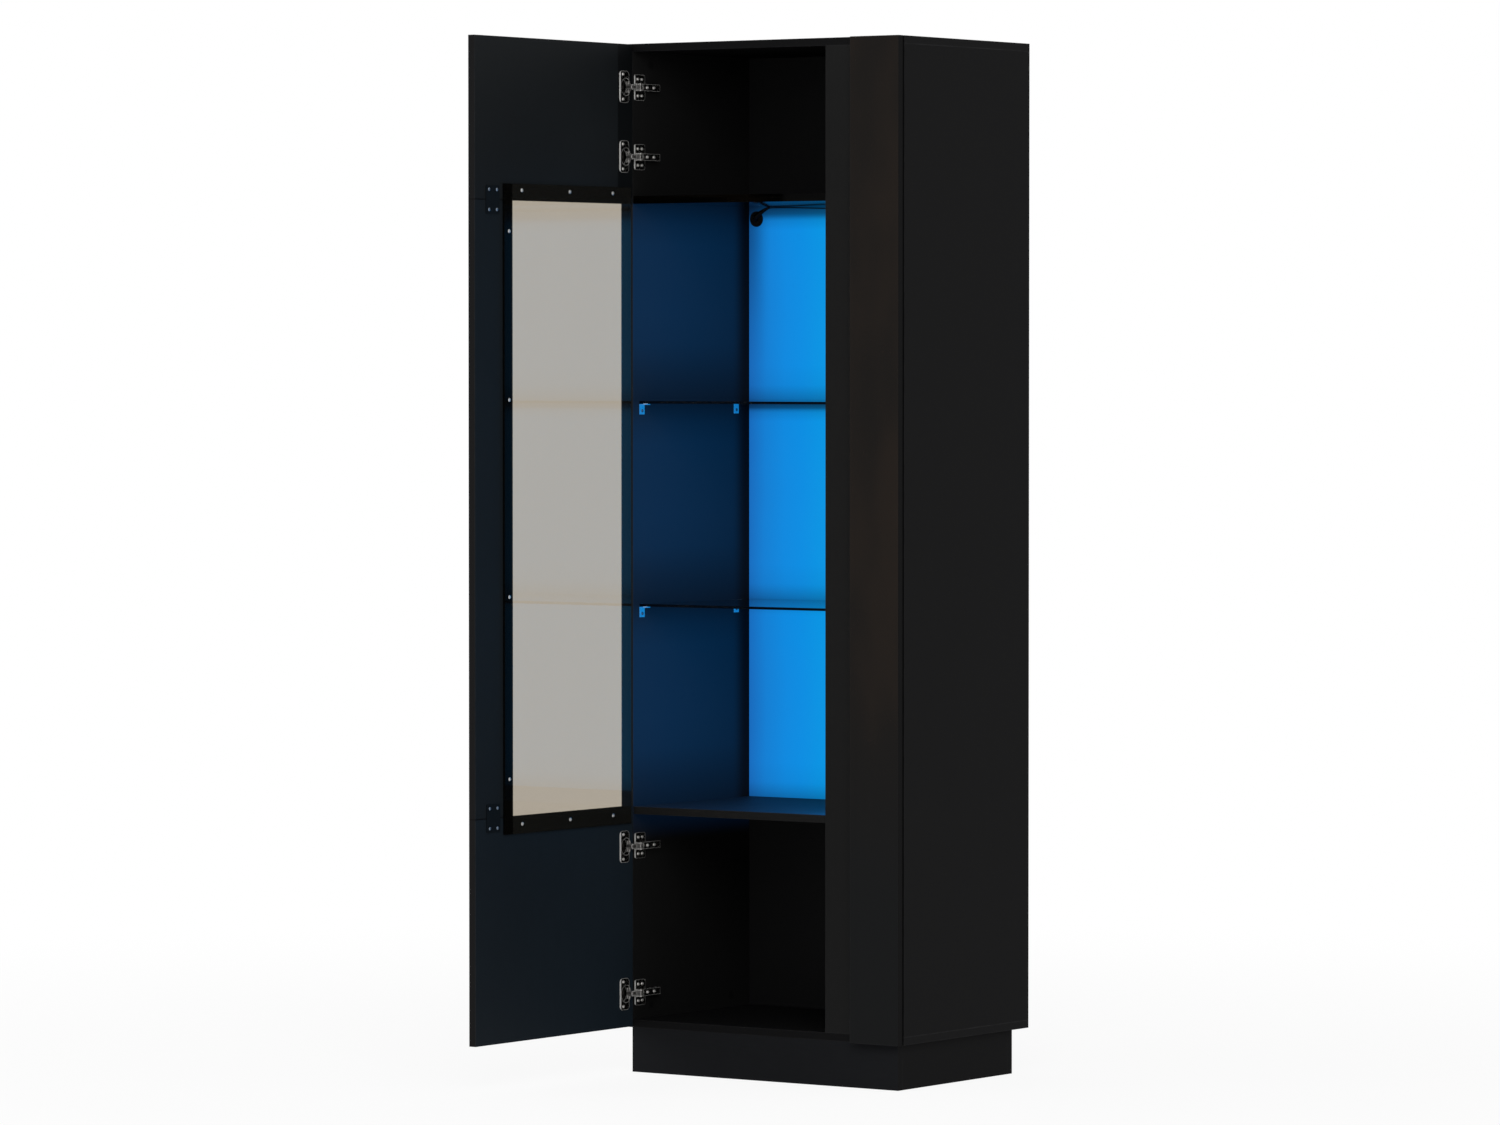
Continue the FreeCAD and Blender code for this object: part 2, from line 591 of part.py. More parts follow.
def plan(out, back):
    """Expressions for a point from its distances to the side and to the closed door."""
    return ("Sizes.board + %.6f" % out, "-Sizes.door_gap + %.6f" % back)


def unplaced_body(name):
    body = doc.addObject("PartDesign::Body", name)
    body.Label = name
    return body


# The arm is a pressed channel: two cheeks that carry the pins at its nose, and a web that
# steps down from the nose to the rail.
nose = cell("nose_radius")
pin_a = (ARM_PIN.x - T, ARM_PIN.y + GAP)
pin_b = (INNER_ARM_PIN.x - T, INNER_ARM_PIN.y + GAP)
top, foot, steel = cell("arm_height"), cell("arm_foot"), cell("cheek_thick")
nose_end, step_end, arm_end = cell("nose_end"), cell("step_end"), cell("arm_end")
nose_top = pin_a[0] + nose
hinge_arm = unplaced_body("hinge_arm_pattern")
arm_sketch = new_sketch(hinge_arm, "XY_Plane")
polygon(arm_sketch, [plan(*p) for p in (
    (foot, arm_end), (foot, pin_b[1] + 2 * nose), (pin_b[0] - nose, pin_b[1]),
    (pin_b[0] - nose / 2, pin_b[1] - nose), (pin_a[0], pin_a[1] - nose),
    (nose_top, pin_a[1] - nose), (nose_top, nose_end), (top, step_end), (top, arm_end))])
feature(hinge_arm, "Pad", arm_sketch, "2 * (Sizes.cheek_inner + Sizes.cheek_thick)", 1, True)
round_edges(hinge_arm, "0.8 * Sizes.nose_radius",
            lambda edge: runs_along(edge, UP) and edge.BoundBox.YMax < pin_b[1] + nose - GAP)
hollow = new_sketch(hinge_arm, "XY_Plane")
clear = nose_top + nose
polygon(hollow, [plan(*p) for p in (
    (foot - nose, arm_end + nose), (foot - nose, 0), (clear, 0), (clear, nose_end - steel),
    (nose_top - steel, nose_end - steel), (top - steel, step_end - steel),
    (top - steel, arm_end + nose))])
cut(hinge_arm, hollow, "2 * Sizes.cheek_inner", 1, True)
pin_bores = new_sketch(hinge_arm, "XY_Plane")
for pin in (pin_a, pin_b):
    circle(pin_bores, *plan(*pin), S + "pin_radius")
cut(hinge_arm, pin_bores, "4 * Sizes.cheek_inner", 1, True)

rivet_head, rivet_grip = 1.8, 0.5
rivets = []
for pin in (ARM_PIN, INNER_ARM_PIN):
    rivet = upright_pin(pin, pin_radius, -cheek_outer, cheek_outer)
    heads = [upright_pin(pin, rivet_head, low, low + rivet_grip)
             for low in (cheek_outer, -cheek_outer - rivet_grip)]
    rivets.append(rivet.fuse(heads).removeSplitter())
at_hinges("hinge_arm_rivets", Part.makeCompound(rivets))

# The mounting plate: two wings screwed to the side and a rail that the arm sits over.
plate = unplaced_body("hinge_plate_pattern")
wings = new_sketch(plate, "YZ_Plane", "Sizes.board")
WING_FRONT = "(Sizes.plate_front - Sizes.door_gap)"
rectangle(wings, WING_FRONT, "-Sizes.plate_height / 2", WING_FRONT + " + Sizes.plate_length",
          "Sizes.plate_height / 2")
feature(plate, "Pad", wings, S + "plate_steel", 1)
round_edges(plate, S + "plate_corner", lambda edge: runs_along(edge, Vector(1, 0, 0)))
rail = new_sketch(plate, "YZ_Plane", "Sizes.board")
RAIL_FRONT = "(%s + Sizes.rail_setback)" % WING_FRONT
rectangle(rail, RAIL_FRONT, "-Sizes.rail_half", RAIL_FRONT + " + Sizes.rail_length",
          S + "rail_half")
feature(plate, "Pad", rail, "Sizes.arm_height - Sizes.cheek_thick", 1)
PLATE_SCREW_Y = ["(%s + Sizes.plate_screw_front + %d * Sizes.plate_screw_pitch)"
                 % (WING_FRONT, i) for i in range(2)]
PLATE_SCREW_SPAN = ("-Sizes.plate_screw_span / 2", "Sizes.plate_screw_span / 2")
plate_hole = 1.7
plate_holes = new_sketch(plate, "YZ_Plane", "Sizes.board")
for y in PLATE_SCREW_Y:
    for z in PLATE_SCREW_SPAN:
        circle(plate_holes, y, z, str(plate_hole))
cut(plate, plate_holes, S + "plate_steel", 1)

plate_screws = []
for y in PLATE_SCREW_Y:
    for z in PLATE_SCREW_SPAN:
        plate_screws.append(placed(screw(3.3, 1.4, plate_hole, T * 0.8),
                                   Vector(T + cell("plate_steel"), level(y), level(z)),
                                   Rotation(UP, Vector(1, 0, 0))))
at_hinges("hinge_plate_screws", Part.makeCompound(plate_screws))
holes(nodes["left_side_panel"], "side",
      [(y, "(%s + %s)" % (h, z)) for h in HINGE_LEVELS for y in PLATE_SCREW_Y
       for z in PLATE_SCREW_SPAN], str(plate_hole), S + "board", "Sizes.board * 0.8", -1)

# Two screws through the arm's web into the rail: the side adjuster and, behind it, the fixing
# screw.
ARM_SCREWS = ("(-Sizes.door_gap + Sizes.adjuster_back)", "(-Sizes.door_gap + Sizes.fixing_back)")
screw_depth = "(Sizes.arm_height * 0.6)"
for body, start in ((hinge_arm, "Sizes.board + Sizes.arm_height"),
                    (plate, "Sizes.board + Sizes.arm_height - Sizes.cheek_thick")):
    sketch = new_sketch(body, "YZ_Plane", start)
    for y in ARM_SCREWS:
        circle(sketch, y, "0", S + "arm_screw_radius")
    cut(body, sketch, screw_depth, -1)
at_hinges("hinge_arms", hinge_arm.Shape)
at_hinges("hinge_plates", plate.Shape)
at_hinges("hinge_arm_screws", Part.makeCompound([
    placed(screw(3.4, 1.6, cell("arm_screw_radius"), level(screw_depth)),
           Vector(T + top, level(y), 0), Rotation(UP, Vector(1, 0, 0))) for y in ARM_SCREWS]))

# ---------------------------------------------------------------- hinge cup

cup = unplaced_body("hinge_cup_pattern")
DOOR_FACE = "-Sizes.door_gap"
CUP_X = "(Sizes.board + Sizes.cup_offset)"
FLANGE_X = "(Sizes.board + Sizes.cup_offset + Sizes.flange_shift)"


def facing_sketch(body, y):
    return new_sketch(body, "XZ_Plane", "-(%s)" % y)


flange = facing_sketch(cup, DOOR_FACE)
FLANGE_HALF = "Sizes.flange_width / 2"
rectangle(flange, "%s - %s" % (FLANGE_X, FLANGE_HALF), "-Sizes.flange_height / 2",
          "%s + %s" % (FLANGE_X, FLANGE_HALF), "Sizes.flange_height / 2")
feature(cup, "Pad", flange, S + "flange_steel", -1)
round_edges(cup, S + "flange_corner", lambda edge: runs_along(edge, Vector(0, 1, 0)))
pot = facing_sketch(cup, DOOR_FACE)
circle(pot, CUP_X, "0", S + "cup_radius")
feature(cup, "Pad", pot, S + "cup_depth", 1)
cavity = facing_sketch(cup, "(%s + Sizes.flange_steel)" % DOOR_FACE)
circle(cavity, CUP_X, "0", "Sizes.cup_radius - Sizes.cup_wall")
cut(cup, cavity, "Sizes.flange_steel + Sizes.cup_depth - Sizes.cup_wall", 1)
CUP_SCREW_X = "(%s + Sizes.cup_screw_shift)" % CUP_X
CUP_SCREW_Z = ("-Sizes.cup_screw_span / 2", "Sizes.cup_screw_span / 2")
cup_hole = 1.7
cup_holes = facing_sketch(cup, "(%s + Sizes.flange_steel)" % DOOR_FACE)
for z in CUP_SCREW_Z:
    circle(cup_holes, CUP_SCREW_X, z, str(cup_hole))
cut(cup, cup_holes, S + "flange_steel", 1)
pin_holes = new_sketch(cup, "XY_Plane")
for pin in (CUP_PIN, INNER_CUP_PIN):
    circle(pin_holes, *plan(pin.x - T, pin.y + GAP), S + "pin_radius")
cut(cup, pin_holes, "4 * Sizes.cup_radius", 1, True)
at_hinges("hinge_cups", cup.Shape, DOOR_OPEN)

# Rivets from the cup's wall inwards: through the long link's bars, and for the short link
# two stubs that stop clear of it.
cup_centre = Vector(level(CUP_X), -GAP, 0)
pot_body = rod(cup_centre, cup_centre - Vector(0, cell("cup_depth"), 0),
               cell("cup_radius") - cell("cup_wall") / 4)
cup_rivets = []
stub_clear = 0.3
for pin, tip in ((CUP_PIN, bar_inner - stub_clear), (INNER_CUP_PIN, inner_half + stub_clear)):
    for low, high in ((tip, cell("cup_radius")), (-cell("cup_radius"), -tip)):
        cup_rivets.append(upright_pin(pin, pin_radius, low, high).common(pot_body))
at_hinges("hinge_cup_rivets", Part.makeCompound(cup_rivets), DOOR_OPEN)
cup_screws = [placed(screw(3.2, 1.2, cup_hole, cell("door_board") * 0.8),
                     Vector(level(CUP_SCREW_X), -GAP + cell("flange_steel"), level(z)),
                     Rotation(UP, Vector(0, 1, 0))) for z in CUP_SCREW_Z]
at_hinges("hinge_cup_screws", Part.makeCompound(cup_screws), DOOR_OPEN)

# ---------------------------------------------------------------- door

DOOR_FRONT = "(-Sizes.door_gap - Sizes.door_board)"
cup_play = 0.1


def swing(body):
    """Swings a body that is drawn on the closed door out to the open pose."""
    body.setExpression("Placement.Base.x", None)
    body.setExpression("Placement.Base.y", None)
    body.Placement = TO_ROW.multiply(DOOR_OPEN)


GLASS_RIGHT = "(%s - Sizes.door_stile_width + Sizes.glass_side_lap)" % DOOR_END
GLASS_LOW = "(%s - Sizes.glass_bottom_lap)" % SEAM_LOW
GLASS_HIGH = "(%s + Sizes.glass_top_lap)" % SEAM_TOP
ROW_START = "(Sizes.side_reveal + Sizes.row_screw_start)"
ROW_X_PLACES = [ROW_START, "(%s + Sizes.row_screw_near)" % ROW_START,
                "(%s + Sizes.row_screw_near + Sizes.row_screw_far)" % ROW_START]
TOP_ROW = [(x, "(%s - Sizes.glass_screw_top)" % GLASS_HIGH) for x in ROW_X_PLACES]
LOW_ROW = [(x, "(%s + Sizes.glass_screw_bottom)" % GLASS_LOW) for x in ROW_X_PLACES]
SIDE_X = "(%s - Sizes.glass_screw_side)" % GLASS_RIGHT
SIDE_LOW = "(%s + Sizes.side_screw_low)" % SEAM_LOW
SIDE_HIGH = "(%s - Sizes.side_screw_high)" % SEAM_TOP
SIDE_ROW = [(SIDE_X, z) for z in (SIDE_LOW, "(%s + Sizes.side_screw_low_pitch)" % SIDE_LOW,
                                  "(%s - Sizes.side_screw_high_pitch)" % SIDE_HIGH, SIDE_HIGH)]
MEND_X = "(%s - Sizes.mend_inset - Sizes.mend_width / 2)" % DOOR_END


def mend_screws(seam, sides):
    """The mending plate's screw places at a seam, on the given sides of it (1 is above)."""
    return [("(%s + (%d) * Sizes.mend_hole_across / 2)" % (MEND_X, i),
             "(%s + (%d) * Sizes.mend_hole_along / 2)" % (seam, j))
            for i in (-1, 1) for j in sides]


glass_pilot, mend_pilot = 1.7, 1.5
hinge_sets = ((HINGE_LEVELS[:2], (SEAM_TOP, DOOR_TOP), "door_top_board", TOP_ROW,
               mend_screws(SEAM_TOP, (1,))),
              (HINGE_LEVELS[2:], (DOOR_BOTTOM, SEAM_LOW), "door_bottom_board", LOW_ROW,
               mend_screws(SEAM_LOW, (-1,))))
for levels, (low, high), name, row_places, mend_places in hinge_sets:
    body = board(name, "facing", (S + "side_reveal", low), (DOOR_END, high),
                 DOOR_FRONT, S + "door_board")
    holes(body, "facing", [(CUP_X, z) for z in levels], "Sizes.cup_radius + %s" % cup_play,
          DOOR_FACE, "Sizes.cup_depth + %s" % cup_play, -1)
    holes(body, "facing", [(CUP_SCREW_X, "(%s + %s)" % (h, z)) for h in levels
                           for z in CUP_SCREW_Z], str(cup_hole), DOOR_FACE,
          "Sizes.door_board * 0.8", -1)
    holes(body, "facing", row_places, str(glass_pilot), DOOR_FACE, "Sizes.door_board * 0.7", -1)
    holes(body, "facing", mend_places, str(mend_pilot), DOOR_FACE, "Sizes.door_board * 0.7", -1)
    swing(body)

door_stile = board("door_stile", "facing", ("%s - Sizes.door_stile_width" % DOOR_END, SEAM_LOW),
                   (DOOR_END, SEAM_TOP), DOOR_FRONT, S + "door_board")
holes(door_stile, "facing", SIDE_ROW, str(glass_pilot), DOOR_FACE, "Sizes.door_board * 0.7", -1)
holes(door_stile, "facing", mend_screws(SEAM_LOW, (1,)) + mend_screws(SEAM_TOP, (-1,)),
      str(mend_pilot), DOOR_FACE, "Sizes.door_board * 0.7", -1)
swing(door_stile)

GLASS_FACE = "(%s + Sizes.door_glass)" % DOOR_FACE
door_glass = board("door_glass", "facing",
                   ("Sizes.side_reveal + Sizes.glass_hinge_inset", GLASS_LOW),
                   (GLASS_RIGHT, GLASS_HIGH), DOOR_FACE, S + "door_glass")
GLASS_SCREWS = TOP_ROW + LOW_ROW + SIDE_ROW
holes(door_glass, "facing", GLASS_SCREWS, str(glass_pilot), GLASS_FACE, S + "door_glass", -1)
swing(door_glass)


def door_group(name, shapes):
    item = group(name, shapes)
    item.Placement = TO_ROW.multiply(DOOR_OPEN)


TO_CARCASS = Rotation(UP, Vector(0, 1, 0))
door_group("door_glass_screws", [
    placed(screw(3.6, 1.5, glass_pilot, cell("door_glass") + cell("door_board") * 0.7),
           Vector(level(x), level(GLASS_FACE), level(z)), TO_CARCASS) for x, z in GLASS_SCREWS])

plates, plate_fixings = [], []
for seam in (SEAM_LOW, SEAM_TOP):
    middle = Vector(level(MEND_X), -GAP, level(seam))
    width, height, steel = cell("mend_width"), cell("mend_height"), cell("mend_steel")
    mend = Part.makeBox(width, steel, height, middle - Vector(width / 2, 0, height / 2))
    mend = mend.makeFillet(cell("mend_corner"), [e for e in mend.Edges
                                 if abs(e.BoundBox.YLength - steel) < 1e-6
                                 and e.BoundBox.XLength < 1e-6])
    for x, z in mend_screws(seam, (-1, 1)):
        place = Vector(level(x), -GAP, level(z))
        mend = mend.cut(rod(place, place + Vector(0, steel, 0), mend_pilot))
        plate_fixings.append(placed(screw(3.1, 1.2, mend_pilot, steel + cell("door_board") * 0.7),
                                    place + Vector(0, steel, 0), TO_CARCASS))
    plates.append(mend)
door_group("mending_plates", plates)
door_group("mending_plate_screws", plate_fixings)

# ---------------------------------------------------------------- lighting

STRIP_X = "(%s + Sizes.stile_width / 2)" % STILE_LEFT
half_strip = "Sizes.strip_width / 2"
strip_rise = 26
board("led_strip", "facing", ("%s - %s" % (STRIP_X, half_strip), LOW_TOP + " + Sizes.strip_end_gap"),
      ("%s + %s" % (STRIP_X, half_strip), "%s - %d" % (HIGH_UNDER, strip_rise)),
      "Sizes.board", S + "strip_thick")

lead_radius, pitch = cell("lead_radius"), cell("lead_pitch")
hold = lead_radius + 0.3
strip_x = level(STRIP_X)
strip_top = level(HIGH_UNDER) - strip_rise
ceiling = level(HIGH_UNDER) - hold
wall = level(BACK_FACE) - hold
hole = Vector(cell("cable_hole_x"), level(BACK_REAR), level(CABLE_Z))
lip, collar, bore = 1.5, 8.0, 5.2
lead_end = hole.y + lip
widest_bend = 18.0


def lead(points):
    """A tube along straight runs that are joined by tangent arcs."""
    edges, start = [], points[0]
    for before, corner, after in zip(points, points[1:], points[2:]):
        into, out = corner - before, after - corner
        half_turn = into.getAngle(out) / 2
        set_back = min(0.45 * min(into.Length, out.Length), widest_bend)
        into.normalize()
        out.normalize()
        radius = set_back / math.tan(half_turn)
        enter, leave = corner - into * set_back, corner + out * set_back
        bulge = (out - into).normalize() * (radius / math.cos(half_turn) - radius)
        edges.append(Part.LineSegment(start, enter).toShape())
        edges.append(Part.Arc(enter, corner + bulge, leave).toShape())
        print("lead: bend radius %.1f mm" % radius)
        start = leave
    edges.append(Part.LineSegment(start, points[-1]).toShape())
    path = Part.Wire(edges)
    section = Part.Wire([Part.Circle(points[0], points[1] - points[0], lead_radius).toShape()])
    tube = path.makePipeShell([section], True, False)
    whole = math.pi * lead_radius ** 2 * path.Length
    print("lead: volume %.0f of %.0f mm3, length %.0f mm" % (tube.Volume, whole, path.Length))
    return tube


# The leads run side by side under the upper fixed shelf: up from the strip, to the back, along
# the back panel with a slight sag after the last clip, and down into the cable hole.
start_y = T + lead_radius + 0.1
sag, last_clip_x = 3.0, W / 2
sag_end_x, turn_x = hole.x + 80, hole.x + 30
sag_start_x = last_clip_x - 24
leads = []
for side in (1, -1):
    x, y = strip_x + side * pitch / 2, wall - (1 - side) * pitch / 2
    hole_x = hole.x + side * pitch / 2
    leads.append(lead([Vector(x, start_y, strip_top), Vector(x, start_y, ceiling),
                       Vector(x, y, ceiling), Vector(sag_start_x, y, ceiling),
                       Vector((sag_start_x + sag_end_x) / 2, y, ceiling - sag),
                       Vector(sag_end_x, y, ceiling), Vector(turn_x, y, ceiling),
                       Vector(hole_x + 12, y - 4, hole.z + 11),
                       Vector(hole_x, wall - 9, hole.z), Vector(hole_x, lead_end, hole.z)]))
group("led_leads", leads)

# Saddle clips hold both leads under the upper fixed shelf.
clip_length, clip_wall, lead_play = 8.0, 1.2, 0.05
half_across = pitch / 2 + hold
clip = Part.makeBox(clip_length, 2 * half_across, 2 * hold + clip_wall,
                    Vector(-clip_length / 2, -half_across, -2 * hold - clip_wall))
channel_radius = lead_radius + lead_play
for side in (-1, 1):
    start = Vector(-clip_length / 2, side * pitch / 2, -hold)
    clip = clip.cut(rod(start, start + Vector(clip_length, 0, 0), channel_radius))
    clip = clip.cut(Part.makeBox(clip_length, 2 * channel_radius, hold,
                                 start - Vector(0, channel_radius, 0)))
clips = [placed(clip, Vector(strip_x, D * share, level(HIGH_UNDER)), Rotation(UP, 90))
         for share in (0.25, 0.6)]
clips += [placed(clip, Vector(x, wall - pitch / 2, level(HIGH_UNDER)), Rotation())
          for x in (last_clip_x, 0.7 * W)]
group("lead_clips", clips)

# The grommet's lip lies on the back panel's face and its collar passes through the hole.
back = Vector(0, 1, 0)
face = Vector(hole.x, level(BACK_FACE), hole.z)
grommet = rod(face - back * lip, face, cell("grommet_radius")).fuse(
    rod(face, hole + back * collar, cell("cable_hole_radius")))
grommet = grommet.cut(rod(face - back * lip, hole + back * collar, bore)).removeSplitter()
group("cable_grommet", [grommet])

# The leads end in a moulded plug that sits in the collar, its flat nose to the back.
plug_length, nose_length, nose_wide, nose_thick = 14.0, 8.0, 7.0, 3.2
plug_rear = Vector(hole.x, lead_end + plug_length, hole.z)
plug = rod(Vector(hole.x, lead_end, hole.z), plug_rear, bore)
plug = plug.fuse(Part.makeBox(nose_wide, nose_length, nose_thick,
                              plug_rear - Vector(nose_wide / 2, 0, nose_thick / 2)))
group("lead_plug", [plug.removeSplitter()])

# ---------------------------------------------------------------- checks and export

doc.recompute()
for item in doc.Objects:
    if "Invalid" in item.State or "Error" in item.State:
        raise RuntimeError("%s is not in order: %s" % (item.Label, item.State))
os.makedirs("parts", exist_ok=True)
for name, item in nodes.items():
    shape = item.Shape
    if shape.isNull() or not shape.isValid() or not shape.Solids:
        raise RuntimeError("%s has no valid shape" % name)
    shape.exportStep(os.path.join("parts", name + ".step"))
print("%d nodes written" % len(nodes))
for name, point in (("arm pin", ARM_PIN), ("cup pin, open", CUP_PIN_OPEN),
                    ("inner arm pin", INNER_ARM_PIN), ("open pivot, open", INNER_OPEN_END)):
    place = TO_ROW.multVec(point)
    print("%s at x %.4f, y %.4f mm" % (name, place.x, place.y))
print("inner link turns %.4f degrees, outer link %.4f" % (INNER_TURN, cell("link_turn")))
print("hinge levels", HINGE_Z)
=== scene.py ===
# %% [markdown]
# A tall black display cabinet with one glazed door.  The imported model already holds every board,
# pane, hinge link and screw at its true place, so this notebook only dresses them: it loads the
# frame, sets up a plain studio, writes one finish for each material and adds the one piece that
# is too fine for the frame.  Loading comes first, because most places below are read from it.

# %% Load the frame
import math

import bpy
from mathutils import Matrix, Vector


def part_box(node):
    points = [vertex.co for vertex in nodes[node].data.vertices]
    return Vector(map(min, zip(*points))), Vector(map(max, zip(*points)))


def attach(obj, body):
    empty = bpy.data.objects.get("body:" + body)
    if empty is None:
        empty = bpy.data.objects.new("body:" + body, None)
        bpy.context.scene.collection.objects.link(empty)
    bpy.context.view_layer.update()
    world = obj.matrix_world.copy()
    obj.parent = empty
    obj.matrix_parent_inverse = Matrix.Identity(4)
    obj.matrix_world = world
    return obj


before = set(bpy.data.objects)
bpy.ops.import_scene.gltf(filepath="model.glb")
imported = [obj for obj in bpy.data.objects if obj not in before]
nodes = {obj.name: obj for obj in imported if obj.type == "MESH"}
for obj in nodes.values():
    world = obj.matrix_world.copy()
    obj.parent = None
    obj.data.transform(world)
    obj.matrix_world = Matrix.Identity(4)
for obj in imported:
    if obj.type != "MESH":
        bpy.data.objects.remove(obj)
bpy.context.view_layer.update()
print("pieces in the frame:", len(nodes))

# %% [markdown]
# Most of the finishes depend on where a point lies: how near a board's edge, in which
# compartment, how far from the light strip.  Nearly all of those places are read from the boards
# themselves, so most finishes would still fit if the cabinet were built in another size.

# %% Places that the finishes use
MM = 0.001
X, Y, Z = 0, 1, 2  # the axes, by number
inner_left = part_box("left_side_panel")[1].x
inner_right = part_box("right_side_panel")[0].x
front_of_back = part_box("back_panel")[0].y
strip_low, strip_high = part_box("led_strip")
lit_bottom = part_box("lower_fixed_shelf")[1].z
lit_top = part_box("upper_fixed_shelf")[0].z
pane_heights = [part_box(name)[i].z for name in ("glass_shelf_lower", "glass_shelf_upper")
                for i in (0, 1)]
bays = [(lit_bottom, pane_heights[0]), (pane_heights[1], pane_heights[2]),
        (pane_heights[3], lit_top)]
strip_x = (strip_low.x + strip_high.x) / 2
strip_y = strip_high.y
print("lit compartments from %.3f to %.3f m" % (lit_bottom, lit_top))

# %% [markdown]
# The camera stands far away with a long lens, well to the right of the cabinet and at chest
# height.  A long lens keeps the uprights nearly parallel, as in a catalogue picture.  Its heading
# is written as two angles, which are easier to read and to change than a rotation matrix.

# %% Camera
CAMERA_PLACE = Vector((7.6790, -10.9591, 1.3896))
HEADING, TILT = math.radians(35.149), math.radians(-1.676)
SENSOR, FOCAL = 36.0, 167.29

camera_data = bpy.data.cameras.new("camera")
camera_data.sensor_width = SENSOR
camera_data.lens = FOCAL
camera = bpy.data.objects.new("camera", camera_data)
bpy.context.scene.collection.objects.link(camera)
camera.location = CAMERA_PLACE
camera.rotation_euler = (math.radians(90) + TILT, 0, HEADING)
bpy.context.scene.camera = camera
bpy.context.scene.view_settings.view_transform = "Standard"
print("camera is %.2f m from the cabinet" % CAMERA_PLACE.length)

# %% [markdown]
# Shader maths reads best as ordinary arithmetic.  Each output of a node is wrapped in a small
# class whose operators add the Math node for us, so that `1 - mask` or `a * b + c` can be typed
# as they would be on paper.  Every other node comes from one method, which takes the node's
# type, its settings and what goes into its sockets.

# %% A wrapper for sockets


class Wire:
    """The output of a node, with the arithmetic of a number."""

    def __init__(self, finish, socket):
        self.finish = finish
        self.socket = socket

    def calculated(self, operation, *values, clamp=False):
        settings = {"operation": operation, "use_clamp": clamp}
        return self.finish.node("ShaderNodeMath", settings, dict(enumerate(values)))

    def __add__(self, other):
        return self.calculated("ADD", self, other)

    def __radd__(self, other):
        return self.calculated("ADD", other, self)

    def __sub__(self, other):
        return self.calculated("SUBTRACT", self, other)

    def __rsub__(self, other):
        return self.calculated("SUBTRACT", other, self)

    def __mul__(self, other):
        return self.calculated("MULTIPLY", self, other)

    def __rmul__(self, other):
        return self.calculated("MULTIPLY", other, self)

    def __truediv__(self, other):
        return self.calculated("DIVIDE", self, other)

    def __rtruediv__(self, other):
        return self.calculated("DIVIDE", other, self)

    def __pow__(self, other):
        return self.calculated("POWER", self, other)

    def least(self, other):
        return self.calculated("MINIMUM", self, other)

    def most(self, other):
        return self.calculated("MAXIMUM", self, other)

    def size(self):
        return self.calculated("ABSOLUTE", self)

    def clamped(self):
        return self.calculated("MULTIPLY", self, 1.0, clamp=True)

    def fraction(self):
        return self.calculated("FRACT", self)

    def rise(self, start, end):
        """0 below start, 1 above end and a smooth slope between them."""
        return self.finish.node(
            "ShaderNodeMapRange", {"interpolation_type": "SMOOTHSTEP", "clamp": True},
            {"Value": self, "From Min": start, "From Max": end, "To Min": 0.0, "To Max": 1.0})


class Finish:
    """A material that is built up from wires."""

    def __init__(self, name, tree=None):
        if tree is None:
            self.material = bpy.data.materials.new(name)
            self.material.use_nodes = True
            tree = self.material.node_tree
        self.tree = tree
        self.tree.nodes.clear()
        self.top = None
        self.end = None

    def node(self, kind, settings=None, inputs=None, output=0):
        """Adds a node: its settings first, then the values or wires of its sockets."""
        item = self.tree.nodes.new(kind)
        for key, value in (settings or {}).items():
            if key == "stops":
                ramp = item.color_ramp
                while len(ramp.elements) < len(value):
                    ramp.elements.new(0.5)
                for element, (place, colour) in zip(ramp.elements, value):
                    element.position = place
                    element.color = colour
            else:
                setattr(item, key, value)
        for key, value in (inputs or {}).items():
            if isinstance(value, Wire):
                self.tree.links.new(value.socket, item.inputs[key])
            else:
                item.inputs[key].default_value = value
        return Wire(self, item.outputs[output])

    def place(self):
        """The point's place in the cabinet, as one vector."""
        return self.node("ShaderNodeTexCoord", output="Object")

    def xyz(self):
        """The point's place in the cabinet, as three numbers."""
        first = self.node("ShaderNodeSeparateXYZ", {}, {0: self.place()})
        return [Wire(self, output) for output in first.socket.node.outputs]

    def stretched(self, factors):
        """The place with each axis scaled, for grain that runs one way."""
        return self.node("ShaderNodeVectorMath", {"operation": "MULTIPLY"},
                         {0: self.place(), 1: factors})

    def noise(self, vector, scale, detail=3.0, roughness=0.5):
        return self.node("ShaderNodeTexNoise", {"noise_dimensions": "3D"},
                         {"Vector": vector, "Scale": scale, "Detail": detail,
                          "Roughness": roughness})

    def mixed(self, amount, first, second):
        """A colour between two colours."""
        return self.node("ShaderNodeMix", {"data_type": "RGBA"},
                         {0: amount, 6: first, 7: second}, output=2)

    def layered(self, amount, first, second):
        """A shader between two shaders."""
        return self.node("ShaderNodeMixShader", {}, {0: amount, 1: first, 2: second})

    def scaled(self, colour, amount):
        """A colour times a number."""
        return self.node("ShaderNodeVectorMath", {"operation": "SCALE"},
                         {0: colour, "Scale": amount})

    def bump(self, height, strength, distance, normal=None):
        inputs = {"Height": height, "Strength": strength, "Distance": distance}
        if normal is not None:
            inputs["Normal"] = normal
        return self.node("ShaderNodeBump", {}, inputs)

    def surface(self, **sockets):
        """A Principled shader, its sockets named with underscores for spaces."""
        inputs = {key.replace("_", " "): value for key, value in sockets.items()}
        return self.node("ShaderNodeBsdfPrincipled", {}, inputs)

    def output(self, shader, kind="ShaderNodeOutputMaterial"):
        """Sends a shader to the output, in place of one sent before."""
        if self.end is None:
            self.end = self.tree.nodes.new(kind)
        self.tree.links.new(shader.socket, self.end.inputs[0])
        self.top = shader


def grey(value):
    return (value, value, value, 1.0)


